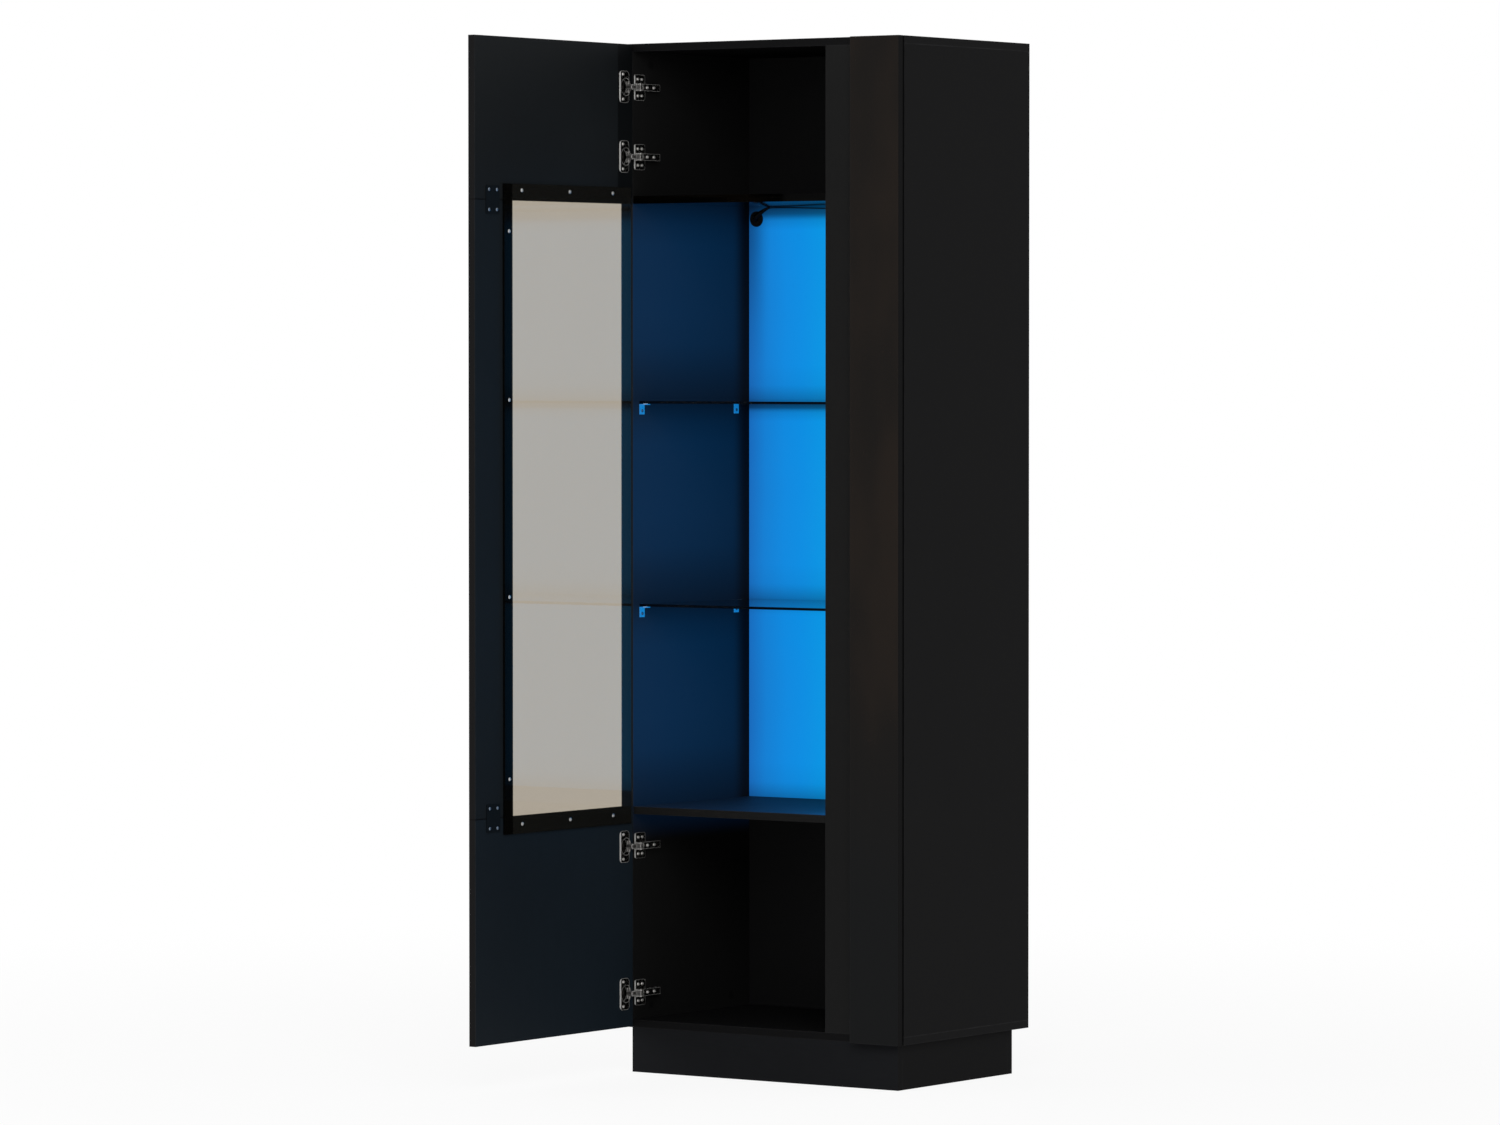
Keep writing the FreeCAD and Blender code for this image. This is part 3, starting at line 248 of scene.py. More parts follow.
def dress(finish, *names):
    """Puts a finish on frame pieces."""
    for name in names:
        slots = nodes[name].material_slots
        if len(slots) == 0:
            nodes[name].data.materials.append(finish.material)
        for slot in slots:
            slot.material = finish.material
    print("%s: %s" % (finish.material.name, ", ".join(names)))


# %% [markdown]
# The studio is a white cove.  The world is white to the camera and to reflections and a softer
# grey to everything else, so the picture's ground is white while black boards stay black.
# Brightening the lamps until the ground turned white would wash the boards out, so this way
# was chosen.

# %% World and floor
AMBIENT = 0.55

world = bpy.data.worlds.new("studio")
bpy.context.scene.world = world
world.use_nodes = True
cove = Finish("cove", world.node_tree)


def seen_ray(finish):
    """1 for what the camera sees straight, mirrored or through glass, and 0 for plain light."""
    return (finish.node("ShaderNodeLightPath", output="Is Camera Ray")
            + finish.node("ShaderNodeLightPath", output="Is Glossy Ray")
            + finish.node("ShaderNodeLightPath", output="Is Transmission Ray")).clamped()


soft = cove.node("ShaderNodeBackground", {}, {"Color": grey(1.0), "Strength": AMBIENT})
white = cove.node("ShaderNodeBackground", {}, {"Color": grey(1.0), "Strength": 1.0})
cove.output(cove.layered(seen_ray(cove), soft, white), "ShaderNodeOutputWorld")

FLOOR_HALF = 12.0
FLOOR_GAP = 0.5 * MM  # below the plinth, so that the two faces don't flicker
FLOOR_SHADE = 0.90  # the paint's own grey
WHITENED = 0.90  # how far the floor near the cabinet is turned to pure white
FADE_START, FADE_END = 0.9, 4.0  # metres out, between which it fades to wholly white
floor_mesh = bpy.data.meshes.new("floor")
floor_mesh.from_pydata([(-FLOOR_HALF, -FLOOR_HALF, 0), (FLOOR_HALF, -FLOOR_HALF, 0),
                        (FLOOR_HALF, FLOOR_HALF, 0), (-FLOOR_HALF, FLOOR_HALF, 0)],
                       [], [(0, 1, 2, 3)])
floor = bpy.data.objects.new("floor", floor_mesh)
bpy.context.scene.collection.objects.link(floor)
floor.location = (0, 0, -FLOOR_GAP)
floor_paint = Finish("floor_paint")
far = floor_paint.node("ShaderNodeVectorMath", {"operation": "LENGTH"},
                       {0: floor_paint.place()}, output=1).rise(FADE_START, FADE_END)
paint = floor_paint.surface(Base_Color=grey(FLOOR_SHADE), Roughness=0.9, Specular_IOR_Level=0.0)
shine = floor_paint.node("ShaderNodeEmission", {}, {"Color": grey(1.0), "Strength": 1.0})
whiteness = seen_ray(floor_paint) * (WHITENED + (1 - WHITENED) * far)
floor_paint.output(floor_paint.layered(whiteness, paint, shine))
floor_mesh.materials.append(floor_paint.material)
print("floor laid")

# %% [markdown]
# Two broad lamps and the world do the lighting.  Broad lamps leave soft edges; they are hidden
# from reflections, because a lamp mirrored in black gloss would print a white square on it.

# %% Lamps
CABINET_MIDDLE = Vector((0, 0, 1.0))


def soft_lamp(name, place, side, power):
    """A square lamp that faces the middle of the cabinet."""
    data = bpy.data.lights.new(name, "AREA")
    data.shape = "SQUARE"
    data.size = side
    data.energy = power
    lamp = bpy.data.objects.new(name, data)
    bpy.context.scene.collection.objects.link(lamp)
    lamp.location = place
    lamp.rotation_euler = (CABINET_MIDDLE - Vector(place)).to_track_quat("-Z", "Y").to_euler()
    lamp.visible_glossy = False
    lamp.visible_camera = False


LAMP_SIDE = 3.0
KEY_PLACE, KEY_POWER = (3.6, -4.6, 3.6), 150.0
FILL_PLACE, FILL_POWER = (-4.2, -3.6, 2.2), 70.0
soft_lamp("key_lamp", KEY_PLACE, LAMP_SIDE, KEY_POWER)
soft_lamp("fill_lamp", FILL_PLACE, LAMP_SIDE, FILL_POWER)
print("lamps hung")

# %% [markdown]
# The boards are chipboard under matt black melamine: not a flat black, but a film with a fine
# embossed grain, faint clouds, and lighter edges, partly rubbed foil and partly a painted
# highlight.  The grain could be an image, but two stretched noises cost less and never repeat.
# The lighter edge is worked out from the board's own box: on a face one distance to the box is
# zero, so the second smallest of the three distances tells how near the closest edge is.

# %% Distance to a board's edge


def edge_distance(finish, name):
    """How far a point on a board's face is from the nearest edge of its box, in metres."""
    low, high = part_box(name)
    gaps = []
    for value, start, end in zip(finish.xyz(), low, high):
        gaps.append((value - start).least(end - value).most(0.0))
    small = gaps[0].least(gaps[1])
    large = gaps[0].most(gaps[1])
    return small.most(large.least(gaps[2]))


# %% [markdown]
# The strip behind the front stile washes the lit compartments with blue.  In the real cabinet
# that is light; here the wash is written into the finishes as emission, so that it also stays
# when the model is used under another light.  A long thin source falls off with the distance
# to it, and a face that turns away gets less: their product is the glow.

# %% Glow of the light strip
FULL_GLOW_AT = 0.5  # metres from the strip, straight across
STRIP_SPREAD = 0.0004  # square metres, which keep the glow finite at the strip itself
GRAZING, GRAZING_LEAST = 0.22, 0.02  # how much of it a level face takes
SHELF_BLUR = 1.5 * MM  # how sharply the glow ends at the fixed shelves


def strip_glow(finish, axis):
    """The strip's light on a face across one axis, about 1 at half a metre."""
    x, y, z = finish.xyz()
    away_x, away_y = x - strip_x, y - strip_y
    squared = away_x * away_x + away_y * away_y + STRIP_SPREAD
    if axis == X:
        facing = away_x.size()
    elif axis == Y:
        facing = away_y.most(0.0)
    else:
        facing = GRAZING * squared ** 0.5 + GRAZING_LEAST
    inside = (z.rise(lit_bottom - SHELF_BLUR, lit_bottom)
              * (1 - z.rise(lit_top, lit_top + SHELF_BLUR)))
    return facing / squared * FULL_GLOW_AT * inside


def profile(finish, z, marks):
    """A number that follows marks of (height, value), read off straight lines between them."""
    start, end = marks[0][0], marks[-1][0]
    stops = [((height - start) / (end - start), grey(value)) for height, value in marks]
    fraction = (z - start) / (end - start)
    return finish.node("ShaderNodeValToRGB", {"stops": stops}, {"Fac": fraction})


def within(wire, low, high, soft=0.3 * MM):
    """1 between two values and 0 outside them."""
    return wire.rise(low - soft, low) * (1 - wire.rise(high, high + soft))


# %% [markdown]
# One function makes the melamine for each board, since the lighter edge needs the board's name.
# The film's grain runs along one axis, which is given for each board, and the noise is stretched
# that way.

# %% Matt black boards
MATT = (0.0052, 0.0052, 0.0055, 1.0)
# A lighter copy of the film, painted light: the left side, the lower fixed shelf, the front stile.
MATT_PAINTED_LIGHTER = (0.0085, 0.0085, 0.0085, 1.0)
MATT_EDGE_WEAR_AND_HIGHLIGHT = (0.017, 0.017, 0.018, 1.0)
SEAM_SHADE = (0.0004, 0.0004, 0.0004, 1.0)
CROSS_GRAIN, WITH_GRAIN = 260.0, 24.0  # grains to a metre
LIGHTER_EDGE_FROM, LIGHTER_EDGE_TO = 0.2 * MM, 1.6 * MM  # from the edge
FILM_RELIEF = 0.12 * MM
EDGE_ROUNDING = 0.8 * MM
FACE_FROM, FACE_TO = 0.9 * MM, 0.4 * MM  # under the +x face, where its own colour comes in
SEAM_DARK, SEAM_GONE = 0.9 * MM, 1.4 * MM  # from the middle of a seam
GLOW_ON_BLACK = (0.0006, 0.0190, 0.062)


def melamine(name, along, glow_axis=None, glow_where=None, tint=MATT, sheen=0.08, seams=(),
             right_face=None, wear=1.0, spill=None):
    """A board's film: its grain runs along one axis, and one of its faces may catch the glow.

    Seams are heights at which the board meets a neighbour, drawn as a shaded line.  Right_face
    turns a shade into the colour of the face towards +x, where that face has its own.  Wear says
    how rounded the edges are and how much their lighter band shows, partly rubbed film and partly
    a painted highlight; spill makes a wire of glow from elsewhere."""
    finish = Finish("matt_board_" + name)
    grain_scale = [CROSS_GRAIN, CROSS_GRAIN, CROSS_GRAIN]
    grain_scale[along] = WITH_GRAIN
    grain = finish.noise(finish.stretched(tuple(grain_scale)), 1.0, 4.0, 0.65)
    clouds = finish.noise(finish.place(), 3.2, 2.0)
    specks = finish.noise(finish.place(), 1400.0, 1.0)
    edge_wear_and_highlight = 1 - edge_distance(finish, name).rise(LIGHTER_EDGE_FROM, LIGHTER_EDGE_TO)
    edge_wear_and_highlight = edge_wear_and_highlight * (0.35 + 0.65 * finish.noise(finish.place(), 38.0, 3.0).rise(0.35, 0.62))
    shade = 0.72 + 0.32 * grain + 0.22 * clouds
    colour = finish.scaled(tint[:3], shade)
    if right_face:
        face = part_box(name)[1].x
        on_face = finish.xyz()[X].rise(face - FACE_FROM, face - FACE_TO)
        colour = finish.mixed(on_face, colour, right_face(finish, shade))
    # The lighter edge: partly rubbed film, partly a painted highlight.
    colour = finish.mixed(edge_wear_and_highlight * (0.55 * wear), colour, MATT_EDGE_WEAR_AND_HIGHLIGHT)
    for height in seams:
        gap = (finish.xyz()[Z] - height).size()
        colour = finish.mixed(gap.rise(SEAM_DARK, SEAM_GONE), SEAM_SHADE, colour)
    roughness = 0.50 + 0.10 * grain + 0.06 * clouds - 0.12 * edge_wear_and_highlight
    corner = finish.node("ShaderNodeBevel", {"samples": 4}, {"Radius": EDGE_ROUNDING * wear})
    normal = finish.bump(grain * 0.7 + specks * 0.3, 0.35, FILM_RELIEF, corner)
    sockets = dict(Base_Color=colour, Roughness=roughness, Normal=normal,
                   Specular_IOR_Level=sheen)
    if glow_axis is not None:
        amount = strip_glow(finish, glow_axis) * glow_where(finish)
        if spill:
            amount = amount + spill(finish)
        sockets["Emission_Color"] = finish.scaled(GLOW_ON_BLACK, amount)
        sockets["Emission_Strength"] = 1.0
    finish.output(finish.surface(**sockets))
    return finish


# Painted shade in the left side's glow: dimmed towards the back panel and next to each shelf.
CORNER_FROM, CORNER_TO = 60 * MM, 12 * MM  # in front of the back panel
CORNER_DIM = 0.93
WALL_MARKS = []  # heights in the lit compartments, and the share of the glow shown there
for low, high in bays:
    WALL_MARKS += [(low, 0.36), (low + 0.05, 0.58), (low + 0.11, 0.92), (low + 0.17, 1.0),
                   (high - 0.08, 1.0), (high - 0.04, 0.82), (high, 0.44)]


def side_face(x, face, towards):
    """1 on a side panel's inner face, which looks towards +x (1) or -x (-1)."""
    ends = sorted((face - towards * 0.4 * MM, face + towards * MM))
    return within(x, ends[0], ends[1], 0.2 * MM)


def left_wall(finish):
    """The left side's inner face: its glow is dimmed, as painted shade, at its rear corner
    and next to each shelf.
    """
    x, y, z = finish.xyz()
    corner = y.rise(front_of_back - CORNER_FROM, front_of_back - CORNER_TO)
    return (side_face(x, inner_left, 1) * profile(finish, z, WALL_MARKS)
            * (1 - CORNER_DIM * corner))


SPILL = 0.18  # of the strip's own glow


def left_spill(finish):
    """Blue light that strays onto the left side just under the lower fixed shelf."""
    x, _, z = finish.xyz()
    return (SPILL * side_face(x, inner_left, 1)
            * z.rise(lit_bottom - 75 * MM, lit_bottom - 22 * MM)
            * (1 - z.rise(lit_bottom - 5 * MM, lit_bottom)))


def right_wall(finish):
    """The right side's inner face."""
    return side_face(finish.xyz()[X], inner_right, -1)


def shelf_floor(finish):
    """The lower fixed shelf's upper face."""
    return within(finish.xyz()[Z], lit_bottom - 0.3 * MM, lit_bottom + MM)


def matt_face(finish, shade):
    """The plain film, for a rail's end face."""
    return finish.scaled(MATT[:3], shade)


SIDE_SHEEN, RAIL_SHEEN = 0.04, 0.03
SQUARE_EDGED = 0.25
# A lighter copy of the film for the front and back plinth rails, painted light; their end faces
# keep the plain film.
RAIL_PAINTED_LIGHTER = (0.0105, 0.0110, 0.0124, 1.0)
# A darker copy of the film for the right side: painted shade.
RIGHT_SIDE_PAINTED_DARKER = (0.0046, 0.0046, 0.0049, 1.0)
dress(melamine("left_side_panel", Z, X, left_wall, MATT_PAINTED_LIGHTER, SIDE_SHEEN, spill=left_spill),
      "left_side_panel")
dress(melamine("right_side_panel", Z, X, right_wall, RIGHT_SIDE_PAINTED_DARKER, SIDE_SHEEN),
      "right_side_panel")
dress(melamine("lower_fixed_shelf", X, Z, shelf_floor, MATT_PAINTED_LIGHTER), "lower_fixed_shelf")
for name in ("bottom_panel", "top_panel"):
    dress(melamine(name, X, sheen=SIDE_SHEEN), name)
for name in ("plinth_front_rail", "plinth_back_rail"):
    dress(melamine(name, X, tint=RAIL_PAINTED_LIGHTER, sheen=RAIL_SHEEN, wear=SQUARE_EDGED,
                   right_face=matt_face), name)
for name in ("plinth_left_rail", "plinth_right_rail"):
    dress(melamine(name, Y, sheen=RAIL_SHEEN, wear=SQUARE_EDGED), name)
dress(melamine("front_stile", Z, tint=MATT_PAINTED_LIGHTER), "front_stile")

# %% [markdown]
# The door's frame boards wear the same melamine.  On the open door the inner face catches a
# trace of the blue light, so its tint leans a little that way, and light thrown back by the
# carcass lifts it towards the hinges.  The strip between the upper hinge cups stays in shade.

# %% Door frame boards
INNER_TINTS = {"door_top_board": (0.0066, 0.0080, 0.0092, 1.0),
               "door_stile": (0.0064, 0.0088, 0.0112, 1.0),
               "door_bottom_board": (0.0062, 0.0098, 0.0138, 1.0)}
door_seams = [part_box("door_stile")[i].z for i in (0, 1)]
free_edge, hinge_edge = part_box("door_top_board")[0].y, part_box("door_top_board")[1].y
SHADED_STRIP = 48 * MM
LIFT, STRIP_SHADE = 0.55, 0.60  # how much lighter and how much darker these parts are
UPPER_HINGES = (1.80, 1.98)  # the heights between which the lift fades out


def thrown_back(finish):
    """How the carcass lights and shades the open door."""
    _, y, z = finish.xyz()
    lift = (y.rise(free_edge + 50 * MM, hinge_edge - 50 * MM)
            * (1 - z.rise(*UPPER_HINGES)))
    strip = (y.rise(hinge_edge - SHADED_STRIP - MM, hinge_edge - SHADED_STRIP + MM)
             * z.rise(lit_top, lit_top + 20 * MM))
    return (1 + LIFT * lift) * (1 - STRIP_SHADE * strip)


def inner_face(tint):
    """Turns a tint into the colour of a door board's inner face."""
    return lambda finish, shade: finish.scaled(tint[:3], shade * thrown_back(finish))


for name, tint in INNER_TINTS.items():
    dress(melamine(name, Z, seams=door_seams, right_face=inner_face(tint)), name)

# %% [markdown]
# The upper fixed shelf is matt above, but its front edge and its underside are lacquered: the
# underside mirrors the lit back panel and the leads that run along it.  The two finishes could
# be separate pieces; one material with a mask for those faces keeps the board whole.

# %% Upper fixed shelf


def lacquered_shelf(name):
    finish = melamine(name, X)
    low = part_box(name)[0]
    _, y, z = finish.xyz()
    # The lacquered edge's colour runs in streaks from near-black to brown.
    streaks = finish.noise(finish.stretched((4.0, 1.0, 60.0)), 1.0, 2.0).rise(0.4, 0.7)
    drips = finish.noise(finish.stretched((9.0, 2.0, 9.0)), 1.0, 2.0)
    edge = finish.surface(
        Base_Color=finish.mixed(streaks, SEAM_SHADE, (0.003, 0.0022, 0.0014, 1.0)),
        Roughness=0.06 + 0.05 * streaks, Specular_IOR_Level=0.03)
    underside = finish.surface(
        Base_Color=finish.mixed(drips, (0.0010, 0.0012, 0.0015, 1.0),
                                (0.0022, 0.0022, 0.0024, 1.0)),
        Roughness=0.03 + 0.04 * drips, Specular_IOR_Level=0.5)
    below = z.rise(low.z + 0.2 * MM, low.z + 0.4 * MM)
    behind = y.rise(low.y + 0.9 * MM, low.y + 1.2 * MM)
    board = finish.layered(below, underside, finish.top)
    finish.output(finish.layered(behind, edge, board))
    return finish


dress(lacquered_shelf("upper_fixed_shelf"), "upper_fixed_shelf")

# %% [markdown]
# The fixed panel beside the door is lacquered to a black mirror.  Gloss on a real board is
# never optically flat: it has a long, shallow orange peel that bends reflections.  A broad,
# faint bump gives that; the base stays almost black, and in its upper part it holds a brown
# painted reflection of a room, in faint waves.
# Its narrow outer edge is banded in matt black and ends in a shaded joint at the carcass.

# %% Gloss black panel
GLOSS_PAINTED_REFLECTION_DARK = (0.0040, 0.0026, 0.0017, 1.0)
GLOSS_PAINTED_REFLECTION_LIGHT = (0.0105, 0.0062, 0.0036, 1.0)
GLOSS_LOW = (0.0014, 0.0018, 0.0022, 1.0)
BAND = (0.0036, 0.0036, 0.0038, 1.0)
PAINTED_REFLECTION_FROM, PAINTED_REFLECTION_TO = 0.35, 0.80  # heights between which the brown comes in
JOINT_FROM, JOINT_TO = 3.0 * MM, 2.0 * MM  # in front of the carcass
BAND_FROM, BAND_TO = 0.6 * MM, 0.3 * MM  # under the outer edge's face


def lacquer(name):
    finish = Finish("gloss_lacquer_" + name)
    x, y, z = finish.xyz()
    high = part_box(name)[1]
    peel = finish.noise(finish.place(), 55.0, 2.0)
    waves = finish.noise(finish.stretched((1.0, 1.0, 0.35)), 7.0, 2.0)
    dust = finish.noise(finish.place(), 900.0, 2.0).rise(0.68, 0.80)
    edge_wear_and_highlight = 1 - edge_distance(finish, name).rise(0.2 * MM, 1.8 * MM)
    # A painted reflection: in the upper part the base is a brown room's reflection in waves; low
    # down it is the lacquer's plain near-black.
    colour = finish.mixed(waves.rise(0.35, 0.7), GLOSS_PAINTED_REFLECTION_DARK, GLOSS_PAINTED_REFLECTION_LIGHT)
    colour = finish.mixed(z.rise(PAINTED_REFLECTION_FROM, PAINTED_REFLECTION_TO), GLOSS_LOW, colour)
    # The lighter edge: partly rubbed lacquer, partly a painted highlight.
    colour = finish.mixed(edge_wear_and_highlight * 0.25, colour, MATT_EDGE_WEAR_AND_HIGHLIGHT)
    roughness = 0.10 + 0.05 * waves + 0.10 * dust
    corner = finish.node("ShaderNodeBevel", {"samples": 4}, {"Radius": 0.4 * MM})
    normal = finish.bump(peel * 0.5 + waves * 2.0, 0.25, 0.4 * MM, corner)
    face = finish.surface(Base_Color=colour, Roughness=roughness, Normal=normal,
                          Specular_IOR_Level=0.11)
    joint = y.rise(high.y - JOINT_FROM, high.y - JOINT_TO)
    band = finish.surface(
        Base_Color=finish.mixed(joint, finish.scaled(BAND[:3], 0.8 + 0.4 * peel), SEAM_SHADE),
        Roughness=0.5 + 0.1 * peel, Specular_IOR_Level=0.03)
    outer = x.rise(high.x - BAND_FROM, high.x - BAND_TO)
    finish.output(finish.layered(outer, face, band))
    return finish


dress(lacquer("front_panel"), "front_panel")

# %% [markdown]
# The back panel is thin hardboard.  Behind the three glazed compartments the strip turns it
# bright blue, paler towards the strip; in the two closed compartments it is black.  Painted
# shade dims the blue low in each compartment, in a band under each ceiling and in the upper
# compartment's left corner.  A colour ramp over the glow gives both ends of that blue, and the
# panel's rear is plain brown board.

# %% Back panel
BACK_REAR = (0.16, 0.105, 0.062, 1.0)
BLUE_STOPS = [(0.0, (0.0, 0.0, 0.0, 1.0)), (0.4375, (0.008, 0.150, 0.515, 1.0)),
              (0.4816, (0.0055, 0.212, 0.655, 1.0)), (0.545, (0.0032, 0.250, 0.735, 1.0)),
              (0.60, (0.002, 0.265, 0.755, 1.0)), (0.684, (0.001, 0.295, 0.762, 1.0)),
              (1.0, (0.01, 0.42, 0.95, 1.0))]
# Painted shade in the blue: dimmed in the upper compartment's left corner, low in each
# compartment, and in a painted shadow band under each ceiling.
FAR_CORNER_WIDTH, FAR_CORNER_DIM = 55 * MM, 0.50
SHADOW_BANDS = (6 * MM, 17 * MM, 26 * MM)  # under each compartment's ceiling, the lowest first
BACK_MARKS = []  # heights, and the share of the blue shown there
for (low, high), band in zip(bays, SHADOW_BANDS):
    BACK_MARKS += [(low, 0.55), (low + 0.03, 0.92), (low + 0.07, 1.0), (high - band - 0.020, 1.0),
                   (high - band, 0.80), (high - band * 0.6, 0.28), (high, 0.12)]


def hardboard():
    finish = Finish("back_hardboard")
    x, y, z = finish.xyz()
    fibres = finish.noise(finish.place(), 420.0, 4.0, 0.7)
    clouds = finish.noise(finish.place(), 5.0, 2.0)
    rear = y.rise(front_of_back + 1.5 * MM, front_of_back + 2.5 * MM)
    front_colour = finish.scaled(MATT[:3], 0.65 + 0.35 * fibres + 0.2 * clouds)
    rear_colour = finish.scaled(BACK_REAR[:3], 0.6 + 0.5 * fibres + 0.3 * clouds)
    colour = finish.mixed(rear, front_colour, rear_colour)
    glow = strip_glow(finish, Y) * (0.97 + 0.06 * clouds)
    blue = finish.node("ShaderNodeValToRGB", {"stops": BLUE_STOPS}, {"Fac": glow})
    far_corner = ((1 - x.rise(inner_left, inner_left + FAR_CORNER_WIDTH))
                  * z.rise(bays[2][0], lit_top))
    lit = ((1 - rear) * within(z, lit_bottom, lit_top) * profile(finish, z, BACK_MARKS)
           * (1 - FAR_CORNER_DIM * far_corner))
    normal = finish.bump(fibres, 0.3, 0.2 * MM)
    finish.output(finish.surface(
        Base_Color=colour, Roughness=0.55 + 0.2 * fibres, Normal=normal,
        Specular_IOR_Level=0.2, Emission_Color=finish.scaled(blue, lit),
        Emission_Strength=1.0))
    return finish


dress(hardboard(), "back_panel")

# %% [markdown]
# Hinge parts are pressed steel with bright nickel plating.  Their flat faces mirror the dark
# cabinet, while their rolled and sheared rims get a painted highlight, so each part reads as a
# bright outline.  Modelled fillets on every rim would cost many faces; instead, the Bevel node
# gives the normal of a rounded edge, and how far it leans from the flat face marks the rims.

# %% Rims, for painted highlights
LEAN_FROM, LEAN_TO = 0.01, 0.09  # of the rounded normal, where a rim begins and is whole


def rims(finish, reach):
    """1 along a piece's edges and 0 on its faces."""
    rounded = finish.node("ShaderNodeBevel", {"samples": 8}, {"Radius": reach})
    flat = finish.node("ShaderNodeNewGeometry", output="True Normal")
    agreement = finish.node("ShaderNodeVectorMath", {"operation": "DOT_PRODUCT"},
                            {0: rounded, 1: flat}, output="Value")
    return (1 - agreement).rise(LEAN_FROM, LEAN_TO)


# %% [markdown]
# Plating follows every scratch of the press tool, so the roughness wanders and fine lines run
# along the parts.  The hinge cups get one thing more: their deep pots stay in shade.

# %% Plated and plain steel
RIM_PAINTED_HIGHLIGHT = (0.80, 0.79, 0.77, 1.0)
SCRATCH_DEPTH = 0.03 * MM


def plated(name, colour, dark, roughness, scratch_scale, rim_reach=0.0, lip=None, mouth=None):
    """Plated steel.  Its rims get a painted highlight, fully so up to lip on y; below mouth on x
    it is painted dark, as painted shade.
    """
    finish = Finish(name)
    lines = finish.noise(finish.stretched(scratch_scale), 1.0, 3.0, 0.6)
    blotches = finish.noise(finish.place(), 160.0, 2.0)
    shade = finish.mixed(blotches.rise(0.3, 0.75) * 0.6 + lines * 0.3, colour, dark)
    rough = roughness + 0.12 * lines + 0.08 * blotches
    metal = 1.0
    x, y, _ = finish.xyz()
    # Below the mouth the cup's pot is painted dark: painted shade.
    if mouth:
        shade = finish.scaled(shade, 0.10 + 0.90 * x.rise(mouth - 0.6 * MM, mouth))
    # Rims: a painted highlight, light in colour, rougher and less metallic.
    if rim_reach:
        rim_highlight = 0.6 * rims(finish, rim_reach)
        if lip:
            rim_highlight = rim_highlight.most(1 - y.rise(lip, lip + 0.8 * MM))
        shade = finish.mixed(rim_highlight, shade, RIM_PAINTED_HIGHLIGHT)
        rough = rough + 0.25 * rim_highlight
        metal = 1 - 0.7 * rim_highlight
    finish.output(finish.surface(Base_Color=shade, Metallic=metal, Roughness=rough,
                                 Normal=finish.bump(lines, 0.4, SCRATCH_DEPTH)))
    return finish


NICKEL, NICKEL_DARK = (0.60, 0.585, 0.56, 1.0), (0.30, 0.29, 0.28, 1.0)
BRIGHT, BRIGHT_DARK = (0.86, 0.85, 0.83, 1.0), (0.52, 0.51, 0.50, 1.0)
ZINC, ZINC_DARK = (0.48, 0.49, 0.50, 1.0), (0.24, 0.24, 0.25, 1.0)
ACROSS, UPRIGHT = (1500.0, 300.0, 1500.0), (1500.0, 1500.0, 300.0)  # the way scratches run
SCREW_TURNED, LINK_DRAWN = (800.0, 800.0, 800.0), (900.0, 900.0, 300.0)
dress(plated("arm_nickel", NICKEL, NICKEL_DARK, 0.16, ACROSS, 1.6 * MM),
      "hinge_arms", "hinge_arm_rivets", "hinge_cup_rivets")
dress(plated("plate_nickel", NICKEL, NICKEL_DARK, 0.16, UPRIGHT, 1.6 * MM,
             lip=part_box("hinge_plates")[0].y + 1.6 * MM), "hinge_plates")
dress(plated("cup_nickel", NICKEL, NICKEL_DARK, 0.16, UPRIGHT, 2.2 * MM,
             lip=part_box("hinge_cups")[0].y + 2.8 * MM,
             mouth=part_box("door_top_board")[1].x), "hinge_cups")
dress(plated("link_steel", (0.42, 0.41, 0.40, 1.0), (0.22, 0.215, 0.21, 1.0), 0.30,
             LINK_DRAWN, 0.8 * MM), "hinge_outer_links", "hinge_inner_links")
dress(plated("screw_nickel", BRIGHT, BRIGHT_DARK, 0.2, SCREW_TURNED, 0.5 * MM),
      "hinge_arm_screws", "hinge_plate_screws", "hinge_cup_screws", "door_glass_screws",
      "front_panel_screws")
# The screws on the mending plates are plated steel whose colour is painted blue, for the strip's
# light on them.
dress(plated("plated_steel_with_painted_blue_light", (0.40, 0.48, 0.58, 1.0), (0.16, 0.20, 0.26, 1.0), 0.25,
             SCREW_TURNED), "mending_plate_screws")
dress(plated("zinc_fittings", ZINC, ZINC_DARK, 0.35, (600.0, 600.0, 600.0)), "cam_bolts")

# %% [markdown]
# The little brackets that carry the glass shelves stand right in the strip's light, so they
# glow blue like the wall behind them.  They are too small for the light to fall off across them,
# so their wash is even.  It is stronger than the boards', since bright metal throws back more.

# %% Shelf brackets and pads
GLOW_ON_NICKEL = (0.004, 0.175, 0.50)
GLOW_ON_PAD = (0.20, 0.30, 0.42)


def washed(name, colour, dark, glow, shine):
    """Plated or moulded parts in the strip's light; shine is how metallic they are."""
    finish = Finish(name)
    blotches = finish.noise(finish.place(), 260.0, 3.0, 0.6)
    wear = finish.noise(finish.place(), 900.0, 2.0)
    # Rims: a painted highlight, with less metal and more glow.
    rim_highlight = rims(finish, 0.8 * MM)
    finish.output(finish.surface(
        Base_Color=finish.mixed(blotches.rise(0.3, 0.7), colour, dark),
        Metallic=shine * (1 - 0.3 * rim_highlight), Roughness=0.28 + 0.2 * wear,
        Normal=finish.bump(wear, 0.3, SCRATCH_DEPTH),
        Emission_Color=finish.scaled(glow, 0.55 + 0.5 * blotches + 0.5 * rim_highlight),
        Emission_Strength=1.0))
    return finish


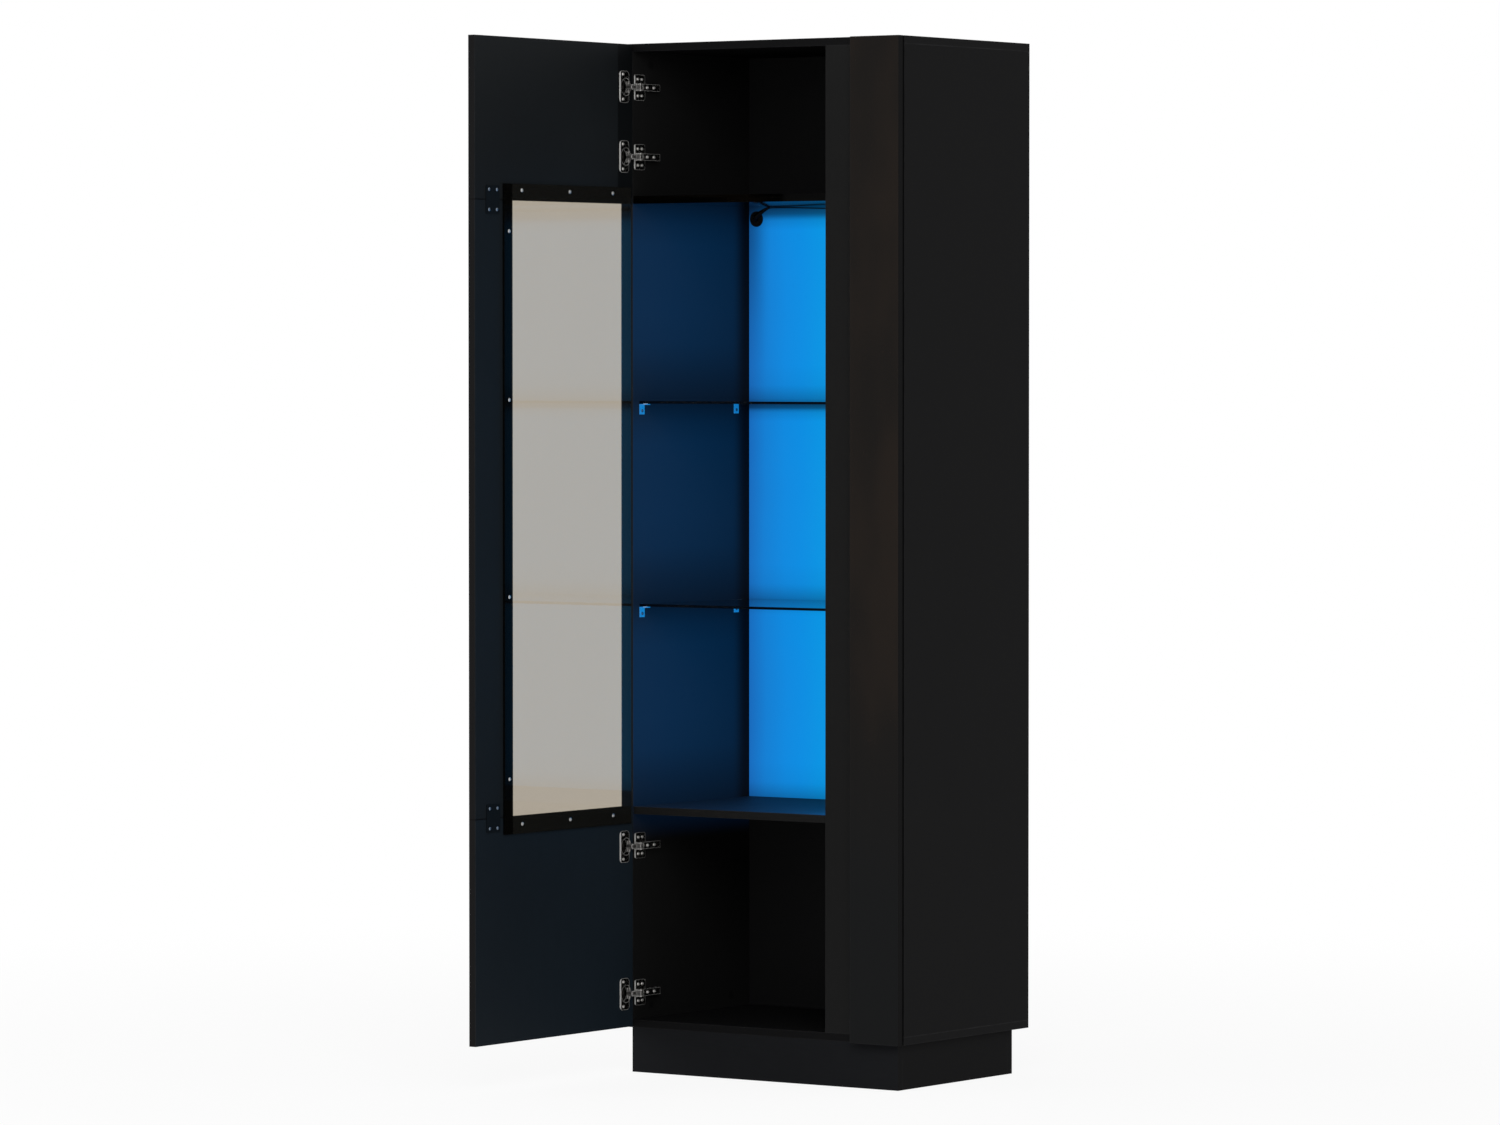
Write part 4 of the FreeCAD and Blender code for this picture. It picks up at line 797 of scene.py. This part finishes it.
dress(washed("bracket_nickel", (0.34, 0.35, 0.36, 1.0), (0.15, 0.16, 0.17, 1.0),
             GLOW_ON_NICKEL, 1.0), "shelf_brackets")
dress(washed("bracket_screw_nickel", (0.12, 0.13, 0.14, 1.0), (0.05, 0.05, 0.06, 1.0),
             (0.001, 0.035, 0.10), 1.0), "shelf_bracket_screws")
dress(washed("clear_silicone", (0.72, 0.74, 0.76, 1.0), (0.60, 0.62, 0.64, 1.0),
             GLOW_ON_PAD, 0.0), "shelf_pads")

# %% [markdown]
# The mending plates over the door's seams are steel too, but stoved black: paint with a fine
# leather texture, whose colour leans blue with painted light from the strip.  The cam locks are
# blackened, so that they don't show on a black board.  The leads and the small moulded parts are
# black plastic, which the same function makes smoother.

# %% Black paint and plastic


def painted(name, colour, roughness, texture, depth, sheen=0.12):
    finish = Finish(name)
    skin = finish.noise(finish.place(), texture, 3.0, 0.6)
    clouds = finish.noise(finish.place(), 40.0, 2.0)
    shade = finish.scaled(colour[:3], 0.75 + 0.3 * skin + 0.25 * clouds)
    normal = finish.bump(skin, 0.5, depth)
    finish.output(finish.surface(Base_Color=shade, Roughness=roughness + 0.15 * clouds,
                                 Normal=normal, Specular_IOR_Level=sheen))
    return finish


# The plates' black leans blue: painted light from the strip.
dress(painted("black_stove_paint_with_painted_blue_light", (0.0024, 0.0040, 0.0056, 1.0), 0.55, 900.0, 0.08 * MM,
              0.08), "mending_plates")
dress(painted("blackened_zinc", (0.0045, 0.0045, 0.0048, 1.0), 0.50, 1100.0, 0.06 * MM, 0.08),
      "cam_locks")
dress(painted("moulded_plastic", (0.012, 0.012, 0.013, 1.0), 0.40, 1300.0, 0.05 * MM),
      "front_panel_spacers", "cable_grommet", "lead_plug", "led_leads", "lead_clips")

# %% [markdown]
# Where the two leads turn down into the cable hole, a woven sleeve gathers them.  A spline with
# a round bevel makes such a tube from five points, and each point's own radius lets it start
# snug on the leads and swell towards the hole.  A chain of cylinders would show its joints.

# %% Sleeve over the leads
hole_low, hole_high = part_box("cable_grommet")
hole = (hole_low + hole_high) / 2
SLEEVE_ROUTE = [  # to the right of the hole, out from the back panel, above the hole; radius
    (34.0, 4.0, 22.0, 1.7), (30.0, 4.0, 22.0, 2.6), (12.0, 8.0, 11.0, 4.6),
    (0.0, 10.5, 0.0, 4.8), (0.0, -1.0, 0.0, 4.4)]


def woven_sleeve():
    curve = bpy.data.curves.new("lead_sleeve", "CURVE")
    curve.dimensions = "3D"
    curve.bevel_depth = MM
    curve.bevel_resolution = 6
    curve.resolution_u = 10
    curve.use_fill_caps = True
    spline = curve.splines.new("NURBS")
    spline.points.add(len(SLEEVE_ROUTE) - 1)
    for point, (right, out, above, radius) in zip(spline.points, SLEEVE_ROUTE):
        point.co = (hole.x + right * MM, front_of_back - out * MM, hole.z + above * MM, 1.0)
        point.radius = radius
    spline.order_u = 3
    spline.use_endpoint_u = True
    piece = bpy.data.objects.new("lead_sleeve", curve)
    bpy.context.scene.collection.objects.link(piece)
    return piece


def braid(name):
    finish = Finish(name)
    strands = [finish.node("ShaderNodeTexWave", {"wave_type": "BANDS", "bands_direction": axis},
                           {"Vector": finish.place(), "Scale": 420.0, "Distortion": 1.5},
                           output="Fac") for axis in ("X", "Z")]
    weave = strands[0] * strands[1]
    finish.output(finish.surface(
        Base_Color=finish.mixed(weave, (0.002, 0.002, 0.0022, 1.0), (0.010, 0.010, 0.011, 1.0)),
        Roughness=0.75 - 0.15 * weave, Normal=finish.bump(weave, 0.5, 0.3 * MM),
        Specular_IOR_Level=0.15))
    return finish


sleeve = woven_sleeve()
sleeve.data.materials.append(braid("woven_sleeve").material)
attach(sleeve, "cabinet")
print("sleeve made, %.0f mm from the hole to its far end" % SLEEVE_ROUTE[0][0])

# %% [markdown]
# Dowels are beech: pale, with short darker flecks.

# %% Beech dowels
BEECH, BEECH_DARK = (0.50, 0.33, 0.18, 1.0), (0.30, 0.18, 0.09, 1.0)
beech = Finish("beech_dowel")
flecks = beech.noise(beech.stretched((900.0, 900.0, 120.0)), 1.0, 3.0)
beech.output(beech.surface(Base_Color=beech.mixed(flecks.rise(0.4, 0.7), BEECH, BEECH_DARK),
                           Roughness=0.6 + 0.1 * flecks, Normal=beech.bump(flecks, 0.4, 0.1 * MM)))
dress(beech, "dowels")

# %% [markdown]
# Glass is real glass here: it bends and tints what is behind it.  The door's pane is bronze
# tinted and has a black printed border, which hides the boards it is screwed to and leaves a
# dark stripe along its free edge.  A mask worked out from the boards and the pane chooses print
# or glass; it never falls quite to zero, because the print lets a trace of light through.  Where
# the pane lies on the stile its print is painted darker, as painted shade, and mirrors less.

# %% Glass
BRONZE = (0.46, 0.41, 0.335, 1.0)
PRINT = (0.0090, 0.0088, 0.0076, 1.0)
SMOKE = (0.10, 0.115, 0.125, 1.0)


def pane(name, tint):
    """A finish, and for it clear tinted glass with the faintest draw lines."""
    finish = Finish(name)
    draw = finish.noise(finish.stretched((6.0, 6.0, 1.0)), 1.0, 1.0)
    shade = finish.scaled(tint[:3], 0.985 + 0.03 * draw)
    return finish, finish.surface(
        Base_Color=shade, Roughness=0.0, IOR=1.50, Transmission_Weight=1.0)


shelf_glass, clear = pane("smoked_shelf_pane", SMOKE)
shelf_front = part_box("glass_shelf_lower")[0].y
EDGE_FROM, EDGE_TO = 0.6 * MM, 0.9 * MM  # behind the front edge, where its ground face ends
y = shelf_glass.xyz()[Y]
ground = shelf_glass.noise(shelf_glass.place(), 700.0, 2.0)
edge = shelf_glass.surface(
    Base_Color=shelf_glass.mixed(ground, (0.0006, 0.0014, 0.0034, 1.0),
                                 (0.0016, 0.0040, 0.0090, 1.0)),
    Roughness=0.12 + 0.15 * ground, Specular_IOR_Level=0.02,
    Normal=shelf_glass.bump(ground, 0.2, 0.05 * MM))
behind_edge = y.rise(shelf_front + EDGE_FROM, shelf_front + EDGE_TO)
shelf_glass.output(shelf_glass.layered(behind_edge, edge, clear))
dress(shelf_glass, "glass_shelf_lower", "glass_shelf_upper")

hinge_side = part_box("door_glass")[1].y
stile_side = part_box("door_stile")[1].y
board_edges = (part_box("door_bottom_board")[1].z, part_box("door_top_board")[0].z)
PRINT_WIDTH = 30 * MM
PRINT_LEAK = 0.045
door_glass, clear = pane("bronze_door_pane", BRONZE)
_, y, z = door_glass.xyz()
window = (within(z, board_edges[0] + MM, board_edges[1] - MM)
          * within(y, stile_side + MM, hinge_side - PRINT_WIDTH))
speckle = door_glass.noise(door_glass.place(), 1200.0, 2.0)
# The second coat is the print painted darker where it lies on the stile: painted shade.
print_coat, shaded_print_coat = [
    door_glass.surface(Base_Color=door_glass.scaled(PRINT[:3], tone * (0.8 + 0.4 * speckle)),
                       Roughness=0.06, Specular_IOR_Level=mirror)
    for tone, mirror in ((1.0, 0.25), (0.25, 0.03))]
on_stile = 1 - y.rise(stile_side, stile_side + MM)
coat = door_glass.layered(on_stile, print_coat, shaded_print_coat)
door_glass.output(door_glass.layered(window.most(PRINT_LEAK), coat, clear))
dress(door_glass, "door_glass")

# %% [markdown]
# The strip is a white tape under a milky sleeve, with a light chip about every 17 mm.  The chips
# are drawn in its emission, since nobody could feel them through the sleeve.

# %% Light strip
strip = Finish("light_strip")
x, _, z = strip.xyz()
CHIP_PITCH, CHIP_HALF = 16.7 * MM, 2.5 * MM
CHIP_FROM, CHIP_TO, CHIP_BLUR = 0.36, 0.64, 0.05  # shares of a pitch
chip = (within((z / CHIP_PITCH).fraction(), CHIP_FROM, CHIP_TO, CHIP_BLUR)
        * within(x, strip_x - CHIP_HALF, strip_x + CHIP_HALF, 0.6 * MM))
lit_colour = strip.mixed(chip, (0.02, 0.28, 0.75, 1.0), (0.55, 0.88, 1.0, 1.0))
strip.output(strip.surface(Base_Color=(0.6, 0.66, 0.7, 1.0), Roughness=0.35 + 0.1 * chip,
                           Emission_Color=lit_colour, Emission_Strength=1.0,
                           Normal=strip.bump(chip, 0.3, 0.3 * MM)))
dress(strip, "led_strip")
